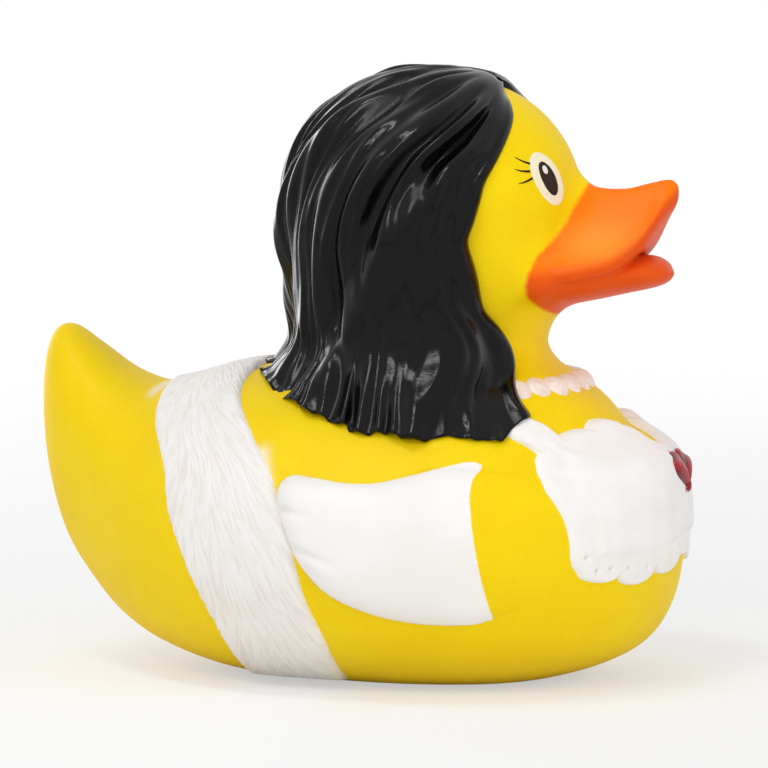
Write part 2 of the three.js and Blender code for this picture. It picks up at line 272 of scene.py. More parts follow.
def settle(field, points, rounds, reach):
    """Moves points onto the field's zero surface by Newton steps of at most the given reach."""
    for _ in range(rounds):
        slope = slope_of(field, points)
        move = field(*points.T)[:, None] * slope / np.maximum((slope ** 2).sum(1, keepdims=True), 1e-3)
        length = np.linalg.norm(move, axis=1, keepdims=True)
        points = points - move * np.minimum(1, reach / np.maximum(length, 1e-9))
    return points


def cast(field, low, high, cell):
    """Surface of a field as an even net of quads: one point for each cell that the surface crosses."""
    axes = [np.arange(a, b + cell, cell) for a, b in zip(low, high)]
    values = field(*np.meshgrid(*axes, indexing="ij", sparse=True))
    inside = values < 0
    size = [n - 1 for n in inside.shape]
    count = np.zeros(size, np.int8)
    for i, j, k in np.ndindex(2, 2, 2):
        count += inside[i:i + size[0], j:j + size[1], k:k + size[2]]
    crossed = (count > 0) & (count < 8)
    cells = np.argwhere(crossed)
    number = np.full(size, -1)
    number[crossed] = np.arange(len(cells))
    total, hits = np.zeros((len(cells), 3)), np.zeros((len(cells), 1))
    faces = []
    for axis in range(3):
        along, side, other = np.roll(np.eye(3, dtype=int), -axis, 0)
        for i, j in np.ndindex(2, 2):
            start = cells + i * side + j * other
            a, b = values[tuple(start.T)], values[tuple((start + along).T)]
            cut = ((a < 0) != (b < 0))[:, None]
            t = (a / np.where(a == b, 1, a - b))[:, None]
            total += np.where(cut, start + t * along, 0)
            hits += cut
        near = inside.take(range(inside.shape[axis] - 1), axis)
        far = inside.take(range(1, inside.shape[axis]), axis)
        edges = np.argwhere(near != far)
        for across in ((axis + 1) % 3, (axis + 2) % 3):
            edges = edges[(edges[:, across] > 0) & (edges[:, across] < size[across])]
        quad = np.stack([number[tuple((edges - m).T)] for m in (0 * side, side, side + other, other)], 1)
        outward = near[tuple(edges.T)]
        faces.append(np.where(outward[:, None], quad, quad[:, ::-1]))
    faces = np.concatenate(faces)
    points = np.array(low) + cell * total / hits
    for _ in range(2):
        points = settle(field, even_out(points, faces), 2, cell / 2)
    return points, faces


def even_out(points, faces):
    """Each point moved half way to the middle of its neighbours."""
    total, hits = np.zeros_like(points), np.zeros(len(points))
    for turn in (1, 3):
        for corner in range(4):
            neighbour = points[faces[:, (corner + turn) % 4]]
            hits += np.bincount(faces[:, corner], minlength=len(points))
            for axis in range(3):
                total[:, axis] += np.bincount(faces[:, corner], neighbour[:, axis], len(points))
    return (points + total / hits[:, None]) / 2


def mount(made):
    """Puts a finished piece into the scene as a part of the duck's one casting."""
    bpy.context.scene.collection.objects.link(made)
    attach(made, "root")
    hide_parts("duck")


def piece(name, points, faces, material, slot, **attributes):
    """A finished mesh piece from points in millimetres, with one value per point for each attribute."""
    mesh = bpy.data.meshes.new(name)
    placed = (np.array(points) + (MODEL_SHIFT, 0, 0)) / 1000
    mesh.from_pydata(placed.tolist(), [], [list(face) for face in faces])
    for label, values in attributes.items():
        mesh.attributes.new(label, "FLOAT", "POINT").data.foreach_set("value", np.array(values, np.float32))
    mesh.shade_smooth()
    mesh.materials.append(material)
    mount(bpy.data.objects.new(name, mesh))


def ink(red, green, blue):
    """A colour as it looks on screen, 0 to 255, as the linear colour a shader takes."""
    part = [c / 255 for c in (red, green, blue)]
    return [c / 12.92 if c <= 0.04045 else ((c + 0.055) / 1.055) ** 2.4 for c in part] + [1.0]


class Wire:
    """A shader socket that takes part in Python expressions; node() adds any other kind of node."""

    def __init__(self, tree, socket=None):
        self.tree = tree
        self.socket = socket

    def node(self, kind, settings, inputs, output=0):
        made = self.tree.nodes.new(kind)
        for name, value in settings.items():
            setattr(made, name, value)
        for name, value in inputs.items():
            if isinstance(value, Wire):
                self.tree.links.new(value.socket, made.inputs[name])
            else:
                made.inputs[name].default_value = value
        return Wire(self.tree, made.outputs[output])

    def math(self, operation, first, second):
        return self.node("ShaderNodeMath", {"operation": operation}, {0: first, 1: second})

    def __add__(self, other):
        return self.math("ADD", self, other)

    def __sub__(self, other):
        return self.math("SUBTRACT", self, other)

    def __rsub__(self, other):
        return self.math("SUBTRACT", other, self)

    def __mul__(self, other):
        return self.math("MULTIPLY", self, other)

    __radd__ = __add__
    __rmul__ = __mul__

    def stored(self, name):
        return self.node("ShaderNodeAttribute", {"attribute_name": name}, {}, "Fac")

    def noise(self, size_mm, detail=2.0):
        """Noise from 0 to 1 with features of about this size."""
        place = self.node("ShaderNodeTexCoord", {}, {}, "Object")
        return self.node("ShaderNodeTexNoise", {},
                         {"Vector": place, "Scale": 1000 / size_mm, "Detail": detail})

    def step(self, start, end):
        """This value as 0 before start and 1 after end."""
        return self.node("ShaderNodeMapRange", {"interpolation_type": "SMOOTHSTEP"},
                         {"Value": self, "From Min": start, "From Max": end})

    def mix(self, first, second):
        """From the first colour to the second as this value goes from 0 to 1."""
        first, second = (c if isinstance(c, Wire) else ink(*c) for c in (first, second))
        return self.node("ShaderNodeMix", {"data_type": "RGBA"}, {0: self, 6: first, 7: second}, 2)

    def bump(self, height_mm):
        """This value as a height in the surface."""
        return self.node("ShaderNodeBump", {}, {"Height": self, "Distance": height_mm / 1000})


def finish(name, **constants):
    """A new material's shader and a wire to draw its patterns with."""
    material = bpy.data.materials.new(name)
    material.use_nodes = True
    shader = material.node_tree.nodes["Principled BSDF"]
    for socket, value in constants.items():
        shader.inputs[socket.replace("_", " ").title().replace("Ior", "IOR")].default_value = value
    return material, shader, Wire(material.node_tree)


def join(shader, **links):
    for socket, wire in links.items():
        wire.tree.links.new(wire.socket, shader.inputs[socket.replace("_", " ").title()])


def yellow_vinyl(wire):
    """Yellow spray over the casting: cloudy by a few per cent, with fine specks in the coat."""
    cloud = wire.noise(9.0, 3.0).step(0.3, 0.7)
    grain = wire.noise(0.35, 1.0).step(0.35, 0.65)
    tone = cloud * 0.55 + grain * 0.45
    return tone.mix(DEEP_YELLOW, YELLOW_VINYL)


points, faces = cast(body_skin, *BODY_BOX, BODY_CELL)
x, y, z = points.T
glove_depth = depth_inside(glove_outline, x, z) - NO_GLOVE * (np.abs(y) < ARM_INNER_Y)
mist = sum(np.exp(-(stroke_distance(start, end, x, z)[0] / width) ** 2) for start, end, width in MISTS)
material, shader, wire = finish("yellow_vinyl_body", roughness=0.5, specular_ior_level=0.14)
glove = (wire.stored("glove_depth") + (wire.noise(0.7) - 0.5) * 0.25).step(-0.12, 0.12)
spray = wire.stored("mist") * wire.noise(0.25, 2.0).step(-0.2, 0.8)
white = wire.noise(12.0).step(0.3, 0.7).mix(WHITE_SHADE, WHITE_PAINT)
coat = (0.8 * spray).mix(yellow_vinyl(wire), WHITE_PAINT)
join(shader, base_color=glove.mix(coat, white), normal=wire.noise(0.5, 3.0).bump(0.02))
piece("body", points, faces, material, "yellow_vinyl", glove_depth=glove_depth, mist=np.minimum(mist, 1))

# The head: the upper half of the same casting, with a broad upturned bill, parted a little at the lips.
# The bill is airbrushed orange, soft at the cheeks, with painted shade in a darker, redder orange under the
# rim of the upper lip and a painted sheen in a paler orange on the upper bill.
UPPER_BILL = [  # x, ridge z, rim z, half width
    [24.0, 78.0, 62.0, 11.4],
    [28.5, 77.7, 62.6, 12.2],
    [33.0, 77.2, 63.2, 12.7],
    [37.0, 75.6, 63.8, 11.8],
    [41.5, 75.4, 65.2, 9.9],
    [45.0, 76.2, 68.3, 7.2],
    [47.9, 76.8, 73.0, 4.2],
    [49.8, 76.6, 75.4, 1.2],
]
LOWER_BILL = [  # x, middle z, half height, half width
    [24.0, 60.6, 3.0, 10.4],
    [31.0, 60.9, 3.5, 12.0],
    [37.0, 61.7, 3.3, 10.4],
    [42.0, 62.4, 2.9, 7.8],
    [46.0, 62.8, 2.4, 6.0],
    [48.0, 62.7, 1.5, 3.6],
    [48.9, 62.5, 0.3, 0.8],
]
BILL_TIP = UPPER_BILL[-1][0]
LIP_THICKNESS = 2.5
LIP_ROUND = 2.6
LIP_REACH = 0.7
LIP_RAISE = 0.4
LIP_BAND = 0.24
LIP_PLACE = 0.97
PALATE_RISE = 0.35
PALATE_FALL = 3.0
TIP_SPAN = (41.0, 45.5)
TIP_THIN = 0.4
TIP_ROUND = 1.2
SCOOP = 0.62
RIDGE_ROUND = 0.12
FACE_BLEND = 3.2
FACE_BLEND_HEIGHT = 6.0
CHEEK_BLEND = 5.5
LIP_BLEND = 0.5
MOUTH_CORNER = (30.0, 35.5)
BILL_PAINT = [  # z, x of the edge of the orange
    [53.0, 33.0], [56.2, 31.0], [57.3, 30.1], [58.0, 29.7], [59.7, 29.0], [61.7, 29.0], [63.7, 29.6],
    [65.6, 30.4], [67.4, 31.8], [70.2, 33.5], [72.8, 34.5], [76.6, 36.0], [80.0, 37.2],
]
HEAD_CELL = 0.4
HEAD_BOX = ((-7.0, -22.0, 43.0), (50.0, 22.0, 93.0))
SEAM_LAP = 1.0  # how far the head's skin goes on inside the body's
SEAM_TUCK = 0.25
SEAM_FADE = 0.8
UPPER_ORANGE = (254, 121, 3)
LIP_SHADE_ORANGE = (230, 84, 14)
SHEEN_ORANGE = (255, 148, 48)
SHEEN_PLACE = (38.5, 67.2)  # x, z of the middle of the paler orange on the upper bill, a painted sheen
SHEEN_SPREAD = (6.5, 3.4)
LIP_SHADE = (-1.6, 1.0)  # below the upper rim, where the darker, redder orange of the painted shade sets in
BILL_SOFTNESS = 0.5


def upper_bill(x, y, z):
    ridge, rim, half_width = rows(UPPER_BILL, x)
    half_width = half_width + LIP_REACH
    across = np.abs(y) / half_width
    bent = np.minimum(np.sqrt(across ** 2 + RIDGE_ROUND ** 2) - RIDGE_ROUND, 1) ** SCOOP
    steep = (ridge - rim) / half_width * np.pi / 2 * np.sin(np.pi * bent)
    lip = LIP_RAISE * np.exp(-((across - LIP_PLACE) / LIP_BAND) ** 2)
    top = (z - rim - lip - (ridge - rim) * (0.5 + 0.5 * np.cos(np.pi * bent))) / np.sqrt(1 + steep ** 2)
    arch = PALATE_RISE * (ridge - rim) * np.exp(-PALATE_FALL * across ** 2)
    front = ease(*TIP_SPAN, x)
    palate = rim - LIP_THICKNESS + arch * (1 - front) + TIP_THIN * front
    side = (np.abs(y) - half_width) / np.sqrt(1 + change(UPPER_BILL, 2, x) ** 2)
    shell = smooth_max(smooth_max(top, palate - z, LIP_ROUND), side, LIP_ROUND)
    return smooth_max(shell, x - BILL_TIP, TIP_ROUND)


def lower_bill(x, y, z):
    middle, half_height, half_width = rows(LOWER_BILL, x)
    return np.maximum(oval_distance(y, z - middle, half_width, half_height), x - LOWER_BILL[-1][0])


def head_skin(x, y, z):
    face = smooth_min(whole_skin(x, y, z), lower_bill(x, y, z), FACE_BLEND)
    rim = rows(UPPER_BILL, x)[1]
    above, behind = ease(rim, rim + FACE_BLEND_HEIGHT, z), 1 - ease(*MOUTH_CORNER, x)
    blend = np.maximum(LIP_BLEND + (FACE_BLEND - LIP_BLEND) * above, CHEEK_BLEND * behind)
    face = smooth_min(face, upper_bill(x, y, z), blend)
    under = neck_seam(x) - z
    return np.maximum(face + SEAM_TUCK * ease(0, SEAM_FADE, under), under - SEAM_LAP)


points, faces = cast(head_skin, *HEAD_BOX, HEAD_CELL)
x, y, z = points.T
bill_depth = np.where(z > BILL_PAINT[0][0], x - rows(BILL_PAINT, z)[0], NO_BILL)
lip_drop = rows(UPPER_BILL, x)[1] - z
# A paler orange patch on the upper bill stands in for its sheen: a painted highlight.
thin = np.exp(-((x - SHEEN_PLACE[0]) / SHEEN_SPREAD[0]) ** 2 - ((z - SHEEN_PLACE[1]) / SHEEN_SPREAD[1]) ** 2)
material, shader, wire = finish("yellow_vinyl_head", specular_ior_level=0.12)
depth = wire.stored("bill_depth") + (wire.noise(0.8) - 0.5) * 0.5
# Under the rim of the upper lip the orange turns darker and redder: painted shade.
lower = wire.stored("lip_drop").step(*LIP_SHADE)
orange = lower.mix(wire.stored("thin").mix(UPPER_ORANGE, SHEEN_ORANGE), LIP_SHADE_ORANGE)
painted = depth.step(-BILL_SOFTNESS, BILL_SOFTNESS)
join(shader, base_color=painted.mix(yellow_vinyl(wire), orange), roughness=0.5 - 0.1 * painted,
     normal=wire.noise(0.5, 3.0).bump(0.02))
piece("head", points, faces, material, "yellow_vinyl", bill_depth=bill_depth, lip_drop=lip_drop, thin=thin)

# The eyes: pad prints in three inks on the front of the head, a cream oval, a brown pupil with three lashes
# and a pale glint to each eye, each ink a film laid over the one before.
EYE_CENTRE = (31.39, -9.67, 77.3)
EYE_OVAL = ((0.13, -0.08), 4.77, 3.26, math.radians(-59))  # middle, half length, half width and tilt
PUPIL_OVAL = ((0.16, -0.11), 3.04, 1.73, math.radians(-65))
GLINT_OVAL = ((-0.39, 1.22), 0.74, 0.56, math.radians(-75))
LASHES = [  # root, bend and tip of each lash, across and up from the middle of the eye
    ((-3.1, 2.32), (-4.7, 2.82), (-5.45, 3.56)),
    ((-3.5, 1.15), (-5.33, 1.2), (-6.1, 1.72)),
    ((-3.3, 0.08), (-4.87, -0.56), (-6.0, -0.55)),
]
LASH_WIDTH = 0.19
LASH_TAPER = 0.8
LASH_STEPS = 16
LASH_SIDES = 8
INK_FILM = 0.045
INK_RIM = 0.1
INK_ROOT = 0.3
EYE_RINGS = 10
EYE_SPOKES = 72
CREAM_INK = [(247, 237, 209), (241, 229, 199)]  # where the print is full, and where it is thin
BROWN_INK = [(52, 36, 26), (44, 30, 21)]
GLINT_INK = [(236, 232, 226), (228, 222, 214)]


def unit(vectors):
    return vectors / np.maximum(np.linalg.norm(vectors, axis=-1, keepdims=True), 1e-9)


def on_head(across, up, lift):
    """A point of the eye's flat drawing laid on the head, for the near eye."""
    centre, radii = np.array(CROWN_CENTRE), np.array(CROWN_RADII)
    out = unit((np.array(EYE_CENTRE) - centre) / radii ** 2)
    high = unit(np.array([0, 0, 1]) - out * out[2])
    side = np.cross(high, out)
    laid = np.array(EYE_CENTRE) + np.multiply.outer(across, side) + np.multiply.outer(up, high)
    for _ in range(10):
        laid = laid - out * head_skin(*np.moveaxis(laid, -1, 0))[..., None]
    return laid + unit((laid - centre) / radii ** 2) * np.asarray(lift)[..., None]


def full_turn(count):
    return np.linspace(0, 2 * np.pi, count, endpoint=False)


def tube(rings, ends=None):
    """Points and outward faces of a closed skin over rings of points, with a fan to a point at each end."""
    rings = np.asarray(rings)
    ends = rings[[0, -1]].mean(1) if ends is None else np.array(ends)
    points = np.concatenate([rings.reshape(-1, 3), ends])
    corner = np.arange(rings[..., 0].size).reshape(rings.shape[:2])
    after = np.roll(corner, -1, 1)
    quads = np.stack([corner[:-1], after[:-1], after[1:], corner[1:]], -1).reshape(-1, 4)
    faces = quads.tolist()
    for first, second, centre in ((after[0], corner[0], -2), (corner[-1], after[-1], -1)):
        faces += [[int(a), int(b), len(points) + centre] for a, b in zip(first, second)]
    a, b, c, d = (points[quads[:, i]] - points.mean(0) for i in range(4))
    outward = ((a + b + c + d) * np.cross(c - a, d - b)).sum() > 0
    return points, faces if outward else [face[::-1] for face in faces]


def merged(parts):
    """One mesh out of several."""
    points, faces = [], []
    for part_points, part_faces in parts:
        start = sum(len(p) for p in points)
        points.append(part_points)
        faces += [[start + corner for corner in face] for face in part_faces]
    return np.concatenate(points), faces


def both_sides(points, faces):
    """A mesh and its mirror image on the other side of the duck."""
    return merged([(points, faces), (points * (1, -1, 1), [face[::-1] for face in faces])])


def oval_print(centre, long, short, tilt, lift):
    """A closed disc of ink on each eye, its rim sunk in the skin."""
    turn = full_turn(EYE_SPOKES)
    outward = np.arange(1, EYE_RINGS + 1) / EYE_RINGS
    above, below = [lift] * (EYE_RINGS - 1) + [-INK_RIM], [-INK_ROOT] * (EYE_RINGS - 1)
    rings = []
    for share, height in zip([*outward, *outward[-2::-1]], above + below):
        u, v = share * long * np.cos(turn), share * short * np.sin(turn)
        across = centre[0] + u * math.cos(tilt) - v * math.sin(tilt)
        up = centre[1] + u * math.sin(tilt) + v * math.cos(tilt)
        rings.append(on_head(across, up, height))
    return both_sides(*tube(rings))


def lash_prints(lift):
    """Thin closed strokes of ink that taper along a bend."""
    t = np.linspace(0, 1, LASH_STEPS)[:, None]
    turn = full_turn(LASH_SIDES)
    width = LASH_WIDTH * (1 - LASH_TAPER * t ** 1.5)
    lashes = []
    for root, bend, tip in np.array(LASHES):
        line = (1 - t) ** 2 * root + 2 * t * (1 - t) * bend + t ** 2 * tip
        run = unit(np.gradient(line, axis=0))
        across = line[:, :1] - run[:, 1:] * width * np.cos(turn)
        up = line[:, 1:] + run[:, :1] * width * np.cos(turn)
        lashes.append(tube(on_head(across, up, lift * np.sin(turn))))
    return both_sides(*merged(lashes))


def print_ink(name, colour, shade):
    """Flat screen ink, slightly uneven where the pad left less of it."""
    material, shader, wire = finish(name, roughness=0.5, specular_ior_level=0.1)
    join(shader, base_color=wire.noise(0.6, 3.0).step(0.3, 0.7).mix(shade, colour))
    return material


piece("eye_whites", *oval_print(*EYE_OVAL, INK_FILM), print_ink("cream_ink", *CREAM_INK), "white_paint")
brown_ink = print_ink("brown_ink", *BROWN_INK)
piece("pupils", *oval_print(*PUPIL_OVAL, 2 * INK_FILM), brown_ink, "black_hair_paint")
piece("eye_glints", *oval_print(*GLINT_OVAL, 3 * INK_FILM), print_ink("glint_ink", *GLINT_INK), "white_paint")
piece("lashes", *lash_prints(2 * INK_FILM), brown_ink, "black_hair_paint")

# The hair: moulded on the casting and painted gloss black. Thick locks fan out from the front of a centre
# parting, roll over the temples, fall behind the cheeks and end in a ragged hem on the back and shoulders.
HAIR_STATIONS = [  # z, middle x, reach back, reach front, half width
    [34.0, 12.0, 29.5, 21.0, 31.5],
    [42.0, 12.0, 29.0, 21.2, 30.0],
    [46.5, 12.0, 27.0, 19.5, 28.0],
    [52.0, 12.5, 23.2, 17.0, 25.5],
    [60.0, 13.0, 24.3, 16.0, 24.6],
    [70.0, 13.0, 25.6, 17.0, 25.2],
    [78.0, 13.0, 24.8, 17.0, 23.8],
    [85.0, 13.0, 21.3, 15.5, 20.5],
    [90.0, 12.8, 15.0, 11.8, 15.0],
    [93.0, 12.6, 8.6, 8.0, 9.0],
    [94.3, 12.6, 1.5, 1.5, 1.5],
]
HAIRLINE = [  # z, x of the front edge on the skin
    [42.1, 31.2], [44.2, 29.2], [46.9, 27.4], [50.0, 26.1], [53.1, 25.2], [55.4, 24.3], [57.6, 22.8],
    [59.9, 22.6], [62.9, 22.4], [66.0, 21.7], [68.1, 21.3], [71.1, 22.4], [74.1, 23.2], [76.6, 23.7],
    [79.5, 24.9], [82.5, 25.8], [85.3, 26.1], [87.9, 25.3], [92.5, 21.0],
]
FAR_SIDE_BACK = 3.0
FAR_SIDE_AHEAD = 0.5
HEM = [  # x, z of the lower edge on the skin
    [-15.5, 47.8], [-11.3, 47.0], [-6.0, 44.4], [-1.1, 42.6], [3.9, 40.9], [8.4, 40.1], [12.9, 39.4],
    [17.0, 39.2], [20.5, 40.0], [25.1, 39.3], [27.4, 39.0], [28.0, 40.8], [29.2, 41.6], [31.4, 42.2],
]
STRAND_AXIS = [  # way down the axis, x, z and tilt in degrees of the ring of strands there
    [0.0, 21.9, 92.1, 37.0],
    [4.0, 20.2, 88.5, 33.0],
    [8.0, 18.0, 85.1, 28.0],
    [14.0, 14.2, 80.4, 20.0],
    [20.0, 11.6, 75.0, 11.0],
    [26.0, 10.2, 69.2, 4.0],
    [33.0, 9.8, 62.3, 0.0],
    [46.0, 10.4, 49.3, 0.0],
    [60.0, 11.0, 35.3, 0.0],
]
STRAND_COLUMNS = 500
STRAND_ROWS = 180
FRONT_DRIFT = 0.2
SLOW_START = 0.08  # rows of points lie closer near the parting
HAIR_COVER = 1.4
LEAST_COVER = 1.25
HEM_FLARE = 0.9
HAIR_ROLL = 2.8
HEM_ROLL = 1.2
HEM_START = 52.0  # first guess of the way down to the hem
AXIS_LEVELS = (0.02, 58.0, 240)  # first and last way down at which the hairline is found, and how many
HAIRLINE_ANGLES = 181
HAIRLINE_SMOOTHING = 4
WIDEST_ANGLE = (52.0, 2.2)  # degrees of the hairline from dead ahead, at the pole and more for each mm down
UNDER_HAIR = 0.8
NECK_FADE = (60.0, 54.0)
TOP_FADE = (82.0, 86.0)
COVER_BLEND = 1.5
HAIR_ROOT = 0.8
LOCKS, LOCK_DEPTH, LOCK_SHARPNESS = 18, 1.7, 3.4
STRANDS, STRAND_DEPTH, STRAND_SHARPNESS = 43, 0.7, 2.4
FINGERS, FINGER_DEPTH, FINGER_SHARPNESS = 46, 1.4, 2.0
LOCK_SPAN = (0.03, 0.16)  # shares of the way down over which each kind of furrow sets in
STRAND_SPAN = (0.2, 0.42)
FINGER_SPAN = (0.83, 0.96)
FINGER_STAGGER, FINGER_BEAT = 0.05, 2.7
FINGER_DROP = (-0.45, 0.35)
FLARE_SPAN = (0.8, 0.97)
LUMP_SPAN = (0.05, 0.2)
CALM, CALM_START, CALM_END = 0.45, (0.45, 0.6), (0.95, 0.82)  # the locks lie smoother half way down
RAGGED_BACK, RAGGED_X, RAGGED_SPAN = 0.15, (-10.0, 4.0), (0.84, 0.96)  # the hem is smoother at the back
FACE_GROOVE, FACE_FADE = 0.3, (1.5, 7.0)  # the furrows are shallow along the face
STILL_SHARE = 0.09  # the outermost locks do not sway
# Turns round, turns down, size and start of the waves in which the locks sway, and in which they stand up.
WAVES = [(2.0, 1.1, 0.011, 0.4), (5.0, 1.6, 0.006, 2.1), (9.0, 2.4, 0.003, 4.0)]
LUMPS = [(8.0, 2.1, 0.55, 1.3), (13.0, 3.4, 0.3, 2.9), (21.0, 1.3, 0.12, 0.2)]
PARTING_DEPTH = 1.6
PARTING_WIDTH = 1.1
PARTING_SPAN = (0.5, 0.2)
PARTING_SHARE = 0.3
POLE_SINK = 0.4  # of the skin's two end points under the hair, at the parting and at the foot of the axis
FOOT_RAISE = 0.5
LOCK_SHARES = (0.5, 1.6)  # least and most of a lock's width, before the locks are fitted round the head
SWELL, SWELL_RATES = 0.45, (0.7, 1.7)
HAIR_SEED = 7
HAIR_BLACK = (3, 3, 4)
HAIR_SHEEN = (8, 8, 9)


def hair_skin(x, y, z):
    middle, back, front, half_width = rows(HAIR_STATIONS, z)
    reach = np.where(x > middle, front, back)
    return np.maximum(np.hypot((x - middle) / reach, y / half_width) - 1, (z - HAIR_STATIONS[-1][0]) / 10)


def strand_ray(way, angle):
    """Start and direction of a ray out of the strands' axis, some way down it."""
    axis_x, axis_z, tilt = rows(STRAND_AXIS, way)
    tilt = np.radians(tilt)
    ahead = np.stack([np.cos(tilt) * np.cos(angle), np.sin(angle), -np.sin(tilt) * np.cos(angle)], -1)
    return np.stack([axis_x, np.zeros_like(axis_x), axis_z], -1), ahead


def reach_to(field, start, ahead):
    """How far along each ray a field's surface is."""
    short, long = np.zeros(ahead.shape[:-1]), np.full(ahead.shape[:-1], 50.0)
    for _ in range(20):
        reach = (short + long) / 2
        outside = field(*np.moveaxis(start + ahead * reach[..., None], -1, 0)) > 0
        long = np.where(outside, reach, long)
        short = np.where(outside, short, reach)
    return short


def hairline_angle(way, back, ahead_on_top):
    """Where the hairline crosses the skin on each ring of strands, moved a little at the neck and on top."""
    angles = np.linspace(0, np.pi, HAIRLINE_ANGLES)
    way, grid = np.meshgrid(way, angles, indexing="ij")
    start, ahead = strand_ray(way, grid)
    reach = np.maximum(reach_to(whole_skin, start, ahead), UNDER_HAIR * reach_to(hair_skin, start, ahead))
    x, _, z = np.moveaxis(start + ahead * reach[..., None], -1, 0)
    clear = x - rows(HAIRLINE, z)[0] + back * ease(*NECK_FADE, z) - ahead_on_top * ease(*TOP_FADE, z)
    last = np.where((clear > 0).any(1), HAIRLINE_ANGLES - 1 - np.argmax(clear[:, ::-1] > 0, 1), 0)
    last = np.minimum(last, HAIRLINE_ANGLES - 2)
    ahead_of, behind = clear[range(len(last)), last], clear[range(len(last)), last + 1]
    share = np.clip(ahead_of / np.maximum(ahead_of - behind, 1e-6), 0, 1)
    widest = np.radians(WIDEST_ANGLE[0] + WIDEST_ANGLE[1] * way[:, 0])
    found = np.pad(np.minimum(angles[last] + share * angles[1], widest), HAIRLINE_SMOOTHING, "edge")
    window = 2 * HAIRLINE_SMOOTHING + 1
    return np.convolve(found, np.ones(window) / window, "valid")


def strand_angle(across, way):
    """Direction of each strand: even round the head, and drawn to the hairline near the face."""
    first, last = np.interp(way, levels, far_front), np.interp(way, levels, near_front)
    even = far_front.mean() + (2 * np.pi - far_front.mean() - near_front.mean()) * across
    first_pull = np.clip(1 - across / FRONT_DRIFT, 0, 1) ** 2
    last_pull = np.clip(1 - (1 - across) / FRONT_DRIFT, 0, 1) ** 2
    return even + (first - far_front.mean()) * first_pull - (last - near_front.mean()) * last_pull


def ripple(waves, across, fall):
    return sum(size * np.sin(2 * np.pi * (m * across + n * fall) + start) for m, n, size, start in waves)


def furrows(across, fall, count, sharp, rng):
    """From 0 on the crests to 1 between uneven locks, each furrow deeper and shallower again as it falls."""
    bounds = np.concatenate([[0], np.cumsum(rng.uniform(*LOCK_SHARES, count))])
    bounds /= bounds[-1]
    rate, start = rng.uniform(*SWELL_RATES, count + 1), rng.uniform(0, 2 * np.pi, count + 1)
    lock = np.clip(np.searchsorted(bounds, across, side="right") - 1, 0, count - 1)
    u = 2 * (across - bounds[lock]) / (bounds[lock + 1] - bounds[lock]) - 1
    edge = lock + (u > 0)
    valley = np.sin(np.pi / 2 * np.abs(u)) ** sharp
    return valley * (1 - SWELL + SWELL * np.sin(2 * np.pi * rate[edge] * fall + start[edge])), lock


def grid_normal(points, outward):
    """Unit normals of a grid of points, on the side that faces outward."""
    normal = unit(np.cross(np.gradient(points, axis=0), np.gradient(points, axis=1)))
    return normal * np.sign((normal * outward).sum(-1).mean())


def way_along(points, axis):
    """How far each point of a grid is along its line, from the first row or column."""
    steps = np.diff(points, axis=axis, prepend=points.take([0], axis))
    return np.cumsum(np.linalg.norm(steps, axis=-1), axis)


rng = np.random.default_rng(HAIR_SEED)
levels = np.linspace(*AXIS_LEVELS)
near_front = hairline_angle(levels, 0, 0)
far_front = hairline_angle(levels, FAR_SIDE_BACK, FAR_SIDE_AHEAD)
across = np.linspace(0, 1, STRAND_COLUMNS + 1)
_, finger = furrows(across, np.ones_like(across), FINGERS, FINGER_SHARPNESS, np.random.default_rng(HAIR_SEED))
hem_way = np.full(across.shape, HEM_START)
axis_foot = STRAND_AXIS[-1][0] + STRAND_AXIS[-1][2]
for _ in range(10):
    start, ahead = strand_ray(hem_way, strand_angle(across, hem_way))
    foot = start + ahead * reach_to(whole_skin, start, ahead)[..., None]
    hem_way = (hem_way + axis_foot - np.interp(foot[:, 0], *np.array(HEM).T)) / 2
ragged = RAGGED_BACK + (1 - RAGGED_BACK) * ease(*RAGGED_X, foot[:, 0])
hem_way = hem_way + rng.uniform(*FINGER_DROP, FINGERS)[finger] * ragged
hem_way = np.convolve(np.pad(hem_way, 1, "edge"), (0.25, 0.5, 0.25), "valid")
down = np.linspace(0, 1, STRAND_ROWS + 1)[1:]
pace = down ** 2 / (down + SLOW_START) * (1 + SLOW_START)
way = hem_way[:, None] * pace[None, :]
span = np.broadcast_to(across[:, None], way.shape)
fall = np.broadcast_to(down[None, :], way.shape)
start, ahead = strand_ray(way, strand_angle(span, way))
skin_reach = reach_to(whole_skin, start, ahead)
cover = HAIR_COVER + HEM_FLARE * ease(*FLARE_SPAN, fall)
reach = smooth_max(reach_to(hair_skin, start, ahead), skin_reach + cover, COVER_BLEND)
base = start + ahead * reach[..., None]
root = start + ahead * (skin_reach - HAIR_ROOT)[..., None]
normal = grid_normal(base, ahead)
from_near, from_pole = way_along(base, 0), way_along(base, 1)
from_front = np.minimum(from_near, from_near[-1] - from_near)
from_hem = from_pole[:, -1:] - from_pole
inner = ease(0, STILL_SHARE, span) * ease(0, STILL_SHARE, 1 - span)
waved = np.clip(span + ripple(WAVES, span, fall) * inner, 0, 1 - 1e-9)
broad, _ = furrows(waved, fall, LOCKS, LOCK_SHARPNESS, rng)
narrow, lock = furrows(waved, fall, STRANDS, STRAND_SHARPNESS, rng)
ends, _ = furrows(span, np.ones_like(fall), FINGERS, FINGER_SHARPNESS, np.random.default_rng(HAIR_SEED))
calm = 1 - CALM * ease(*CALM_START, fall) * ease(*CALM_END, fall)
groove = LOCK_DEPTH * broad * calm * ease(*LOCK_SPAN, fall)
groove = groove + STRAND_DEPTH * narrow * calm * ease(*STRAND_SPAN, fall)
finger_start = FINGER_SPAN[0] + FINGER_STAGGER * np.sin(FINGER_BEAT * lock)
groove = groove + FINGER_DEPTH * ends * ease(finger_start, FINGER_SPAN[1], fall)
groove = groove * (FACE_GROOVE + (1 - FACE_GROOVE) * ease(*FACE_FADE, from_front))
groove = groove * (1 - (1 - ragged[:, None]) * ease(*RAGGED_SPAN, fall))
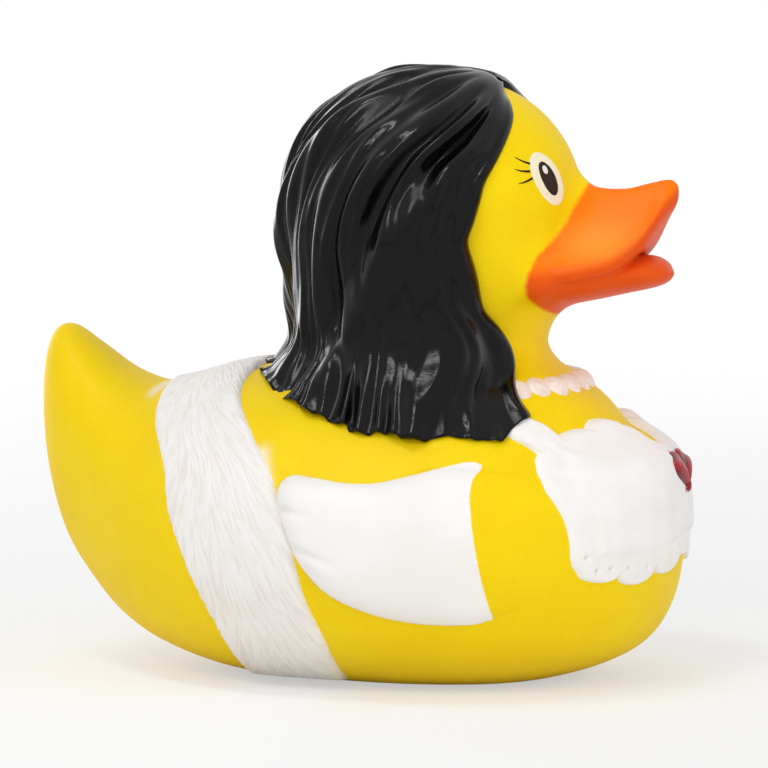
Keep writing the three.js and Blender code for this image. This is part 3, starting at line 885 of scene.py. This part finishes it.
lumps = ripple(LUMPS, span, fall) * ease(*LUMP_SPAN, fall) * inner
parting = np.exp(-(base[..., 1] / PARTING_WIDTH) ** 2) * ease(*PARTING_SPAN, fall)
sunk = groove + PARTING_DEPTH * parting * (np.abs(span - 0.5) < PARTING_SHARE)
height = np.maximum(lumps - sunk, LEAST_COVER - (reach - skin_reach))
cover = rolled(from_front, HAIR_ROLL) * rolled(from_hem, HEM_ROLL)
strands = root + (base + normal * height[..., None] - root) * cover[..., None]

axis_way = hem_way[0] * pace
axis_x, axis_z, _ = rows(STRAND_AXIS, axis_way)
axis = np.stack([axis_x, np.zeros(STRAND_ROWS), axis_z], -1)
pole = (STRAND_AXIS[0][1], 0, STRAND_AXIS[0][2] - POLE_SINK)
rings = np.concatenate([strands.swapaxes(0, 1), axis[:, None]], 1)
points, faces = tube(rings, [pole, axis[-1] + (0, 0, FOOT_RAISE)])
groove_depth = np.append(np.pad(groove.T, ((0, 0), (0, 1))), [0, 0])
material, shader, wire = finish("black_gloss", specular_ior_level=0.19)
# The furrows stay the darkest black, painted shade in the grooves, and the crests lighten in noisy patches to
# a dark grey, a painted sheen.
valley = wire.stored("groove_depth").step(0.2, 1.2)
smear_and_sheen = wire.noise(1.6, 4.0).step(0.35, 0.7)
join(shader, base_color=(smear_and_sheen * (1 - valley)).mix(HAIR_BLACK, HAIR_SHEEN),
     roughness=0.11 + 0.08 * smear_and_sheen + 0.15 * valley, normal=wire.noise(0.45, 4.0).bump(0.015))
piece("hair", points, faces, material, "black_hair_paint", groove_depth=groove_depth)

# The stole: a band of fur moulded over the back and down both sides, with every tuft cut in the mould, and
# sprayed white. It stands a little proud of the skin and ends at the edge of the flat base.
STOLE_REAR = [  # z, x of the rear edge
    [-4.0, -12.4], [10.0, -15.5], [17.1, -18.4], [27.0, -22.7], [34.1, -24.6], [39.8, -28.3], [44.0, -29.6],
    [52.0, -32.0],
]
STOLE_FRONT = [  # z, x of the front edge
    [-4.0, 2.6], [8.3, 2.2], [16.2, 0.0], [23.0, -1.5], [34.1, -5.6], [39.2, -9.6], [46.1, -14.6],
    [52.0, -11.0],
]
STOLE_RELIEF = 0.85
STOLE_EDGE = 1.5
STOLE_ROOT = 0.7
STOLE_FOOT = (0.3, 3.0)  # z over which the band thins out to the base
STOLE_TALLEST = 2.0
STOLE_LOWEST = 0.1
STOLE_END_ANGLE = math.radians(-57)
STOLE_ROWS = 540
STOLE_COLUMNS = 110
STOLE_LENGTH = 142.0
STOLE_WIDTH = 19.0
STOLE_MIDDLE_Z = 24.0
TUFTS = 5200
TUFT_LENGTH = (3.0, 7.5)
TUFT_WIDTH = (0.22, 0.42)
TUFT_HEIGHT = (0.04, 0.2)
TUFT_SPREAD = math.radians(38)
TUFT_WINDOW = np.array([8.0, 5.0])  # how far a tuft can reach along the band and across it
TUFT_FRINGE = 1.2
TUFT_TURN = 0.1
TUFT_CURL = 0.25
TUFT_OVERHANG = 0.52  # share of the band's width, out from its middle, over which tufts start
TUFT_FULLNESS, TUFT_FALL = 0.6, 0.45
FUR_SEED = 11
FUR_SHADE = (236, 229, 223)


def body_point(x, angle):
    """The plain body's surface at x, at an angle round its axis that starts level on the near side."""
    middle, half_height, half_width = rows(BODY_STATIONS, x)
    along = np.abs(x - BODY_MIDDLE) / BODY_HALF_LENGTH
    envelope = (1 - along ** END_ROUNDNESS) ** (1 / END_ROUNDNESS)
    spread = np.abs(np.cos(angle) / half_width) ** SECTION_ROUNDNESS
    spread = spread + np.abs(np.sin(angle) / half_height) ** SECTION_ROUNDNESS
    radius = envelope / spread ** (1 / SECTION_ROUNDNESS)
    return np.stack([x, -np.cos(angle) * radius, middle + np.sin(angle) * radius], -1)


def fur(rng):
    """Heights of the tufts: short tapered strokes that run down from the back and part sideways."""
    size, count = np.array([STOLE_LENGTH, STOLE_WIDTH]), np.array([STOLE_ROWS, STOLE_COLUMNS])
    cell = size / count
    heights = np.zeros(count + 1)
    along = np.arange(STOLE_ROWS + 1)[:, None] * cell[0] - STOLE_LENGTH / 2
    across = np.arange(STOLE_COLUMNS + 1)[None, :] * cell[1] - STOLE_WIDTH / 2
    for _ in range(TUFTS):
        a, b = rng.uniform(-0.5, 0.5) * STOLE_LENGTH, rng.uniform(-TUFT_OVERHANG, TUFT_OVERHANG) * STOLE_WIDTH
        length, width = rng.uniform(*TUFT_LENGTH), rng.uniform(*TUFT_WIDTH)
        turn = 2 * b / STOLE_WIDTH * TUFT_SPREAD + rng.normal(0, TUFT_TURN)
        da, db = math.cos(turn) * (1 if a > 0 else -1), math.sin(turn)
        curl = rng.normal(0, TUFT_CURL)
        rise = rng.uniform(*TUFT_HEIGHT)
        corners = [(a, b) - TUFT_WINDOW, (a, b) + TUFT_WINDOW]
        low, high = np.clip(np.round((corners + size / 2) / cell), 0, count + 1).astype(int)
        rows_in, columns_in = slice(low[0], high[0]), slice(low[1], high[1])
        u, v = along[rows_in] - a, across[:, columns_in] - b
        t = (u * da + v * db) / length
        off = v * da - u * db - curl * (t - 0.5) ** 2
        taper = np.clip(4 * t * (1 - t), 0, 1) ** TUFT_FULLNESS * (1 - TUFT_FALL * np.clip(t, 0, 1))
        stroke = rise * taper * np.clip(1 - (off / np.maximum(width * taper, 1e-3)) ** 2, 0, 1)
        heights[rows_in, columns_in] = np.maximum(heights[rows_in, columns_in], stroke)
    return heights


rng = np.random.default_rng(FUR_SEED)
share = np.linspace(0, 1, STOLE_ROWS + 1)[:, None]
angle = STOLE_END_ANGLE + (math.pi - 2 * STOLE_END_ANGLE) * share
across = np.linspace(0, 1, STOLE_COLUMNS + 1)[None, :]
angle = np.broadcast_to(angle, (STOLE_ROWS + 1, STOLE_COLUMNS + 1))
level = np.full(angle.shape, STOLE_MIDDLE_Z)
for _ in range(14):
    rear, front = rows(STOLE_REAR, level)[0], rows(STOLE_FRONT, level)[0]
    base = body_point(rear + (front - rear) * across, angle)
    level = (level + base[..., 2]) / 2
normal = grid_normal(base, base - (0, 0, STOLE_MIDDLE_Z))
tufts = fur(rng)
margin = np.minimum(across, 1 - across) * STOLE_WIDTH + TUFT_FRINGE * (tufts - tufts.mean())
cover = rolled(margin, STOLE_EDGE)
height = (STOLE_RELIEF + tufts) * cover - STOLE_ROOT * (1 - cover)
height[:, 0] = height[:, -1] = height[0] = height[-1] = -STOLE_ROOT
height = np.minimum(height, ease(*STOLE_FOOT, base[..., 2]) * STOLE_TALLEST - STOLE_ROOT)
fur_points = base + normal * height[..., None]
fur_points[..., 2] = np.maximum(fur_points[..., 2], STOLE_LOWEST)
points, faces = tube(fur_points)
material, shader, wire = finish("white_fur", roughness=0.62, specular_ior_level=0.3)
# Where the tufts are low the white turns darker: painted shade between the tufts.
depth = wire.stored("tuft_height").step(0.0, 0.12)
cloud = wire.noise(5.0, 2.0).step(0.3, 0.7) * 0.35 + 0.65
join(shader, base_color=(depth * cloud).mix(FUR_SHADE, WHITE_PAINT),
     normal=wire.noise(0.3, 3.0).bump(0.03))
piece("stole", points, faces, material, "white_paint", tuft_height=np.append(tufts, [0, 0]))

# The bib: a lace front moulded on the breast with its shoulder straps, painted white. A scalloped border with
# eyelets runs round a smooth raised middle, and the straps pass back under the hair.
BIB_CUSPS = [(24.8, 19.7), (19.3, 18.9), (12.1, 19.3), (2.9, 20.8), (-2.9, 20.8)]  # y, z between the scallops
SCALLOP_LOWS = [17.8, 16.9, 17.9, 19.6]
BIB_NECK = [  # y, z of the upper edge from the middle of the breast to the strap, along it and down the side
    (-2.9, 36.5), (0.0, 36.6), (2.3, 36.8), (4.2, 37.9), (4.8, 39.2), (5.3, 39.8), (6.4, 39.8), (7.0, 40.6),
    (8.5, 41.0), (10.2, 40.9), (11.4, 40.4), (12.4, 39.7), (13.8, 39.9), (15.9, 39.6), (17.4, 39.2),
    (18.4, 38.8), (18.9, 40.0), (19.4, 41.0), (20.3, 41.9), (20.6, 44.0), (20.8, 47.0), (24.6, 47.0),
    (24.2, 42.5), (23.8, 40.2), (23.7, 39.0), (23.1, 37.9), (22.8, 36.8), (23.7, 36.2), (24.2, 35.7),
    (24.7, 35.0), (25.1, 34.5), (25.5, 33.9), (25.9, 33.0), (26.3, 31.6), (26.1, 29.6), (25.8, 27.4),
    (25.7, 25.6), (25.6, 23.8), (25.6, 22.0), (25.3, 20.5),
]
EYELETS = [(24.3, 21.8), (22.8, 19.7), (20.9, 19.9), (18.0, 19.7), (14.3, 19.5), (10.6, 20.4), (7.4, 20.4),
           (4.4, 21.7), (1.4, 21.8)]
BIB_RELIEF = 0.85
NECK_RELIEF = 0.35
NECK_RISE = (34.0, 39.0)
STRAP_DIVE = (26.5, 32.0)  # x over which each strap rises from under the hair
STRAP_Z = 41.6  # above this the outline is the strap alone
BIB_EDGE = 0.7
BIB_ROOT = 0.7
BIB_BACK_X = 17.5
MIDDLE_RAISE = 0.5
MIDDLE_INSET = (2.2, 3.4)
MIDDLE_WIDENS = (30.0, 36.0)
MIDDLE_FADE = (41.0, 34.0)
GATHER_DEPTH = 0.12
GATHER_RATE = 2.4
GATHER_Y = (20.0, 25.0)
GATHER_Z = (30.0, 34.0)
EYELET_DEPTH = 0.6
EYELET_RADIUS = 0.33
BIB_CELL = 0.27
BIB_BOX = ((BIB_BACK_X - 1, -27.9, 15.6), (53.0, 27.9, 47.0))
EYELET_SHADE = (198, 176, 150)


def scallop_edge():
    """The hem from the side of the bib to its middle, one half round drop between each two cusps."""
    edge = []
    for (y0, z0), (y1, z1), low in zip(BIB_CUSPS, BIB_CUSPS[1:], SCALLOP_LOWS):
        for t in np.linspace(0, 1, 12, endpoint=False):
            straight = z0 + (z1 - z0) * t
            drop = (z0 + z1) / 2 - low
            edge.append((y0 + (y1 - y0) * t, straight - drop * math.sqrt(1 - (2 * t - 1) ** 2)))
    return edge + [BIB_CUSPS[-1]]


bib_outline = np.array(BIB_NECK + scallop_edge())
bib_middle = np.array([p for p in BIB_NECK if p[1] < STRAP_Z] + list(BIB_CUSPS))


def eyelet_pits(y, z):
    """1 in the middle of each eyelet and 0 well away from it."""
    return [np.exp(-((y - v) ** 2 + (z - w) ** 2) / EYELET_RADIUS ** 2) for v, w in EYELETS]


def bib_height(y, z):
    """The lace's height over the skin: a plain border, a raised middle, gathers at the side and eyelets."""
    inner = depth_inside(bib_middle, y, z) + ease(*MIDDLE_WIDENS, z)
    middle = MIDDLE_RAISE * ease(*MIDDLE_INSET, inner) * ease(*MIDDLE_FADE, z)
    height = BIB_RELIEF + NECK_RELIEF * ease(*NECK_RISE, z) + middle
    height = height + GATHER_DEPTH * np.sin(GATHER_RATE * z) * ease(*GATHER_Y, y) * ease(*GATHER_Z, z)
    for pit in eyelet_pits(y, z):
        height = height - EYELET_DEPTH * pit
    return height


def bib_skin(x, y, z):
    body = whole_skin(x, y, z)
    side = np.abs(y)
    lace = bib_height(side, z) * ease(*STRAP_DIVE, x)
    front = smooth_max(body - lace, -depth_inside(bib_outline, side, z), BIB_EDGE)
    return np.maximum(np.maximum(front, -body - BIB_ROOT), BIB_BACK_X - x)


points, faces = cast(bib_skin, *BIB_BOX, BIB_CELL)
x, y, z = points.T
pit = sum(eyelet_pits(np.abs(y), z))
material, shader, wire = finish("white_lace", roughness=0.55, specular_ior_level=0.35)
wear_and_highlight = wire.noise(5.0, 4.0).step(0.3, 0.7)
white = wear_and_highlight.mix(WHITE_SHADE, WHITE_PAINT)
# The eyelet pits are darkened to a beige brown: painted shade in the holes.
pit_shade = 0.6 * wire.stored("pit").step(0.4, 0.95)
join(shader, base_color=pit_shade.mix(white, EYELET_SHADE), normal=wire.noise(0.5, 3.0).bump(0.02))
piece("bib", points, faces, material, "white_paint", pit=pit)

# The necklace: a string of moulded half beads round the front of the neck, between the two ends of the hair,
# dabbed with a pinkish pearl paint.
PEARL_RADIUS = 2.75
PEARLS = 10
PEARL_SINK = 1.75
PEARL_RING_X = 13.7
PEARL_Z = 44.5
PEARL_SPREAD = 1.66
PEARL_SEED = 3
PEARL_PINK = (236, 212, 196)
PEARL_PALE = (246, 233, 223)
STRING_STEPS = 60
STRING_START = 20.0  # first guess of the string's radius


def bead_tree():
    """Geometry nodes that put beads along a curve, each a little larger or smaller than the next."""
    tree = bpy.data.node_groups.new("bead_string", "GeometryNodeTree")
    sockets = {}
    for label, kind in (("String", "Geometry"), ("Bead Count", "Int"), ("Bead Radius", "Float"),
                        ("Paint", "Material"), ("Seed", "Int")):
        sockets[label] = tree.interface.new_socket(label, in_out="INPUT", socket_type="NodeSocket" + kind)
    tree.interface.new_socket("Beads", in_out="OUTPUT", socket_type="NodeSocketGeometry")
    wire = Wire(tree)
    given = tree.nodes.new("NodeGroupInput")
    value = {label: Wire(tree, given.outputs[label]) for label in sockets}
    places = wire.node("GeometryNodeResampleCurve", {},
                       {"Curve": value["String"], "Count": value["Bead Count"]})
    bead = wire.node("GeometryNodeMeshUVSphere", {},
                     {"Segments": 40, "Rings": 26, "Radius": value["Bead Radius"]})
    scale = wire.node("FunctionNodeRandomValue", {"data_type": "FLOAT_VECTOR"},
                      {0: (0.93, 0.93, 0.93), 1: (1.05, 1.05, 1.05), "Seed": value["Seed"]})
    beads = wire.node("GeometryNodeInstanceOnPoints", {},
                      {"Points": places, "Instance": bead, "Scale": scale})
    solid = wire.node("GeometryNodeRealizeInstances", {}, {"Geometry": beads})
    smooth = wire.node("GeometryNodeSetShadeSmooth", {}, {"Geometry": solid})
    painted = wire.node("GeometryNodeSetMaterial", {}, {"Geometry": smooth, "Material": value["Paint"]})
    out = tree.nodes.new("NodeGroupOutput")
    tree.links.new(painted.socket, out.inputs["Beads"])
    return tree, {label: socket.identifier for label, socket in sockets.items()}


material, shader, wire = finish("pearl_paint", specular_ior_level=0.5, coat_weight=0.25, coat_roughness=0.15)
dab = wire.noise(1.1, 3.0).step(0.3, 0.7)
join(shader, base_color=dab.mix(PEARL_PINK, PEARL_PALE), roughness=0.32 + 0.16 * dab,
     normal=wire.noise(0.5, 2.0).bump(0.05))
turn = np.linspace(-PEARL_SPREAD / 2, PEARL_SPREAD / 2, STRING_STEPS)
level = np.full(STRING_STEPS, PEARL_Z)
reach = np.full(STRING_STEPS, STRING_START)
for _ in range(12):
    reach -= whole_skin(PEARL_RING_X + reach * np.cos(turn), reach * np.sin(turn), level) + PEARL_SINK
line = np.stack([PEARL_RING_X + MODEL_SHIFT + reach * np.cos(turn), reach * np.sin(turn), level], 1) / 1000
curve = bpy.data.curves.new("bead_line", "CURVE")
curve.dimensions = "3D"
spline = curve.splines.new("POLY")
spline.points.add(len(line) - 1)
spline.points.foreach_set("co", np.pad(line, ((0, 0), (0, 1)), constant_values=1).ravel())
string = bpy.data.objects.new("bead_line", curve)
bpy.context.scene.collection.objects.link(string)
tree, names = bead_tree()
beads = string.modifiers.new("beads", "NODES")
beads.node_group = tree
for label, value in (("Bead Count", PEARLS), ("Bead Radius", PEARL_RADIUS / 1000), ("Paint", material),
                     ("Seed", PEARL_SEED)):
    beads[names[label]] = value
evaluated = string.evaluated_get(bpy.context.evaluated_depsgraph_get())
pearls = bpy.data.objects.new("pearls", bpy.data.meshes.new_from_object(evaluated))
bpy.data.objects.remove(string)
mount(pearls)

# The bow: a red ribbon bow moulded on the middle of the breast, two pleated loops that rise to the sides,
# a pair of short pointed ends and a knot, painted gloss red.
BOW_Z = 30.2
LOOP_TIP = (5.0, 3.8)
LOOP_WIDTH = [[0.0, 0.7], [0.25, 1.9], [0.6, 2.5], [0.85, 2.1], [1.0, 1.1]]  # way out, half width
LOOP_HEIGHT = [[0.0, 0.8], [0.3, 1.3], [0.7, 1.4], [0.93, 1.0], [1.0, 0.3]]  # way out, height
END_TIP = (1.5, -2.2)
END_WIDTH = [[0.0, 0.5], [0.5, 0.75], [0.85, 0.4], [1.0, 0.08]]
END_HEIGHT = [[0.0, 0.8], [0.5, 0.6], [1.0, 0.3]]
KNOT_RADII = (0.55, 0.8, 1.0)
KNOT_FOLD = 0.4
KNOT_LIFT = 0.6
KNOT_ROWS = 24
KNOT_PINCHES = 5
KNOT_PINCH_DEPTH = 0.08
BOW_START_X = 5.0  # inside the breast
RIBBON_RED = (158, 22, 36)
RIBBON_SHADE = (112, 8, 20)
RIBBON_HIGHLIGHT = (205, 104, 108)
LOOP_PLEATS = 1.5
END_PLEATS = 1.0
PLEAT_DEPTH = 0.38
RIBBON_BEND = 0.9
RIBBON_ROOT = 0.9
BOW_STEPS = 56
BOW_SIDES = 44


def over_bib(x, y, z):
    return plain_body(x, y, z) - BIB_RELIEF


def breast_point(y, z, lift):
    """A point over the painted breast at this y and z."""
    start = np.stack([np.full(np.shape(y), BOW_START_X), y, z], -1)
    ahead = np.broadcast_to((1.0, 0.0, 0.0), start.shape)
    base = start + ahead * reach_to(over_bib, start, ahead)[..., None]
    return base + unit(slope_of(plain_body, base)) * np.asarray(lift)[..., None]


def ribbon(tip, widths, heights, pleats):
    """Loops or ends of the bow: swollen strips from the knot to their tips, with pleats that fan out."""
    along = np.linspace(0, 1, BOW_STEPS)[:, None]
    turn = full_turn(BOW_SIDES)
    across, top = np.cos(turn), np.sin(turn)
    half, rise = rows(widths, along)[0], rows(heights, along)[0]
    length = math.hypot(*tip)
    aside = across * half + RIBBON_BEND * np.sin(np.pi * along)
    y = along * tip[0] + aside * (-tip[1] / length)
    z = BOW_Z + along * tip[1] + aside * (tip[0] / length)
    fold = 0.5 + 0.5 * np.cos(pleats * np.pi * across + 0.6)
    crown = np.abs(top) ** 0.8
    lift = np.where(top > 0, rise * crown * (1 - PLEAT_DEPTH + PLEAT_DEPTH * fold), -RIBBON_ROOT * crown)
    folds = np.append(np.broadcast_to(fold, y.shape), [KNOT_FOLD] * 2)
    return both_sides(*tube(breast_point(y, z, lift))), np.tile(folds, 2)


def knot():
    """A small round knot with shallow pinches."""
    turn = full_turn(BOW_SIDES)
    tilt = np.linspace(0.02, np.pi - 0.02, KNOT_ROWS)[:, None]
    centre = breast_point(np.zeros(1), np.full(1, BOW_Z), np.full(1, KNOT_LIFT))[0]
    ahead, out = np.cos(tilt) * np.ones_like(turn), np.sin(tilt)
    shape = np.stack([ahead, out * np.cos(turn), out * np.sin(turn)], -1)
    pinch = 1 + KNOT_PINCH_DEPTH * np.cos(KNOT_PINCHES * np.arctan2(shape[..., 2], shape[..., 1]))
    return tube(centre + shape * KNOT_RADII * pinch[..., None])


loops, loop_folds = ribbon(LOOP_TIP, LOOP_WIDTH, LOOP_HEIGHT, LOOP_PLEATS)
ends, end_folds = ribbon(END_TIP, END_WIDTH, END_HEIGHT, END_PLEATS)
middle = knot()
points, faces = merged([loops, ends, middle])
folds = np.concatenate([loop_folds, end_folds, np.full(len(middle[0]), KNOT_FOLD)])
material, shader, wire = finish("red_gloss", specular_ior_level=0.35, coat_weight=0.15, coat_roughness=0.15)
fold = wire.stored("fold")
# In the hollows of the pleats the red darkens: painted shade.
shade = fold.step(0.15, 0.6).mix(RIBBON_SHADE, RIBBON_RED)
# The crests of the pleats turn a pinkish red in noisy patches: a painted highlight.
wear_and_highlight = fold.step(0.86, 1.0) * wire.noise(0.7, 3.0).step(0.4, 0.7)
join(shader, base_color=wear_and_highlight.mix(shade, RIBBON_HIGHLIGHT), roughness=0.3 + 0.12 * wire.noise(0.9),
     normal=wire.noise(0.5, 2.0).bump(0.03))
piece("bow", points, faces, material, "red_paint", fold=folds)

# The studio: a pale floor under two bright strips, softboxes in front, at the side and behind, and a card
# that only the gloss picks up, all at a level at which a colour renders about as it is written.
IMAGE_AIM = (3.21, 0.59, 44.68)
AZIMUTH = math.radians(14)
ELEVATION = math.radians(5)
CAMERA_DISTANCE = 650.0
CAMERA_LENS = 196.5
SENSOR_WIDTH = 36
LAMP_AIM = (0, 0, 45)
FLOOR_HALF = 3.0  # metres
FLOOR_GREY = (0.9, 0.9, 0.9, 1)
AMBIENT = 0.53
UNSEEN = ("front_softbox", "side_softbox")  # behind scrims, so not mirrored in the gloss
MIRRORED_ONLY = ("glint_card",)
LAMPS = [  # name, place, size and power of each soft light
    ("top_strip", (-170, -310, 850), (420, 80), 1.6),
    ("key_strip", (-150, -700, 560), (300, 60), 0.9),
    ("front_softbox", (-220, -900, 380), (800, 800), 1.1),
    ("side_softbox", (620, -300, 260), (480, 480), 1.25),
    ("rear_softbox", (-540, 500, 170), (420, 420), 1.5),
    ("glint_card", (-90, -580, 700), (280, 190), 1.7),
]


def aimed(name, data, place, target):
    made = bpy.data.objects.new(name, data)
    made.location = [c / 1000 for c in place]
    look = [(t - c) / 1000 for c, t in zip(place, target)]
    made.rotation_euler = Vector(look).to_track_quat("-Z", "Y").to_euler()
    bpy.context.scene.collection.objects.link(made)
    return made


mesh = bpy.data.meshes.new("floor")
corners = [(FLOOR_HALF * x, FLOOR_HALF * y, 0) for x, y in ((-1, -1), (1, -1), (1, 1), (-1, 1))]
mesh.from_pydata(corners, [], [(0, 1, 2, 3)])
floor_paint, shader, wire = finish("pale_floor", roughness=0.9, base_color=FLOOR_GREY)
place = wire.node("ShaderNodeTexCoord", {}, {}, "Object")
far = wire.node("ShaderNodeVectorMath", {"operation": "LENGTH"}, {0: place}, "Value").step(0.1, 0.6)
seen = wire.node("ShaderNodeLightPath", {}, {}, "Is Camera Ray") * (0.5 + 0.5 * far)
glow = wire.node("ShaderNodeEmission", {}, {"Color": (1, 1, 1, 1), "Strength": 1.0})
mixed = wire.node("ShaderNodeMixShader", {}, {0: seen, 1: Wire(wire.tree, shader.outputs[0]), 2: glow})
output = floor_paint.node_tree.nodes["Material Output"]
floor_paint.node_tree.links.new(mixed.socket, output.inputs["Surface"])
mesh.materials.append(floor_paint)
floor = bpy.data.objects.new("floor", mesh)
bpy.context.scene.collection.objects.link(floor)

for name, place, size, power in LAMPS:
    lamp = bpy.data.lights.new(name, "AREA")
    lamp.shape = "RECTANGLE"
    lamp.size, lamp.size_y = size[0] / 1000, size[1] / 1000
    lamp.energy = power
    made = aimed(name, lamp, place, LAMP_AIM)
    made.visible_glossy = name not in UNSEEN
    made.visible_diffuse = name not in MIRRORED_ONLY

world = bpy.data.worlds.new("studio")
world.use_nodes = True
bpy.context.scene.world = world
wire = Wire(world.node_tree)
path = wire.node("ShaderNodeLightPath", {}, {}, "Is Camera Ray")
for kind in ("Is Glossy Ray", "Is Transmission Ray"):
    path = wire.math("MAXIMUM", path, wire.node("ShaderNodeLightPath", {}, {}, kind))
backdrop = world.node_tree.nodes["Background"]
backdrop.inputs["Color"].default_value = (1, 1, 1, 1)
strength = AMBIENT + (1 - AMBIENT) * path
world.node_tree.links.new(strength.socket, backdrop.inputs["Strength"])

camera = bpy.data.cameras.new("camera")
camera.lens = CAMERA_LENS
camera.sensor_width = SENSOR_WIDTH
camera.clip_end = 20
level = math.cos(ELEVATION)
back = (math.sin(AZIMUTH) * level, -math.cos(AZIMUTH) * level, math.sin(ELEVATION))
eye = [aim + CAMERA_DISTANCE * b for aim, b in zip(IMAGE_AIM, back)]
bpy.context.scene.camera = aimed("camera", camera, eye, IMAGE_AIM)
bpy.context.scene.view_settings.view_transform = "Standard"
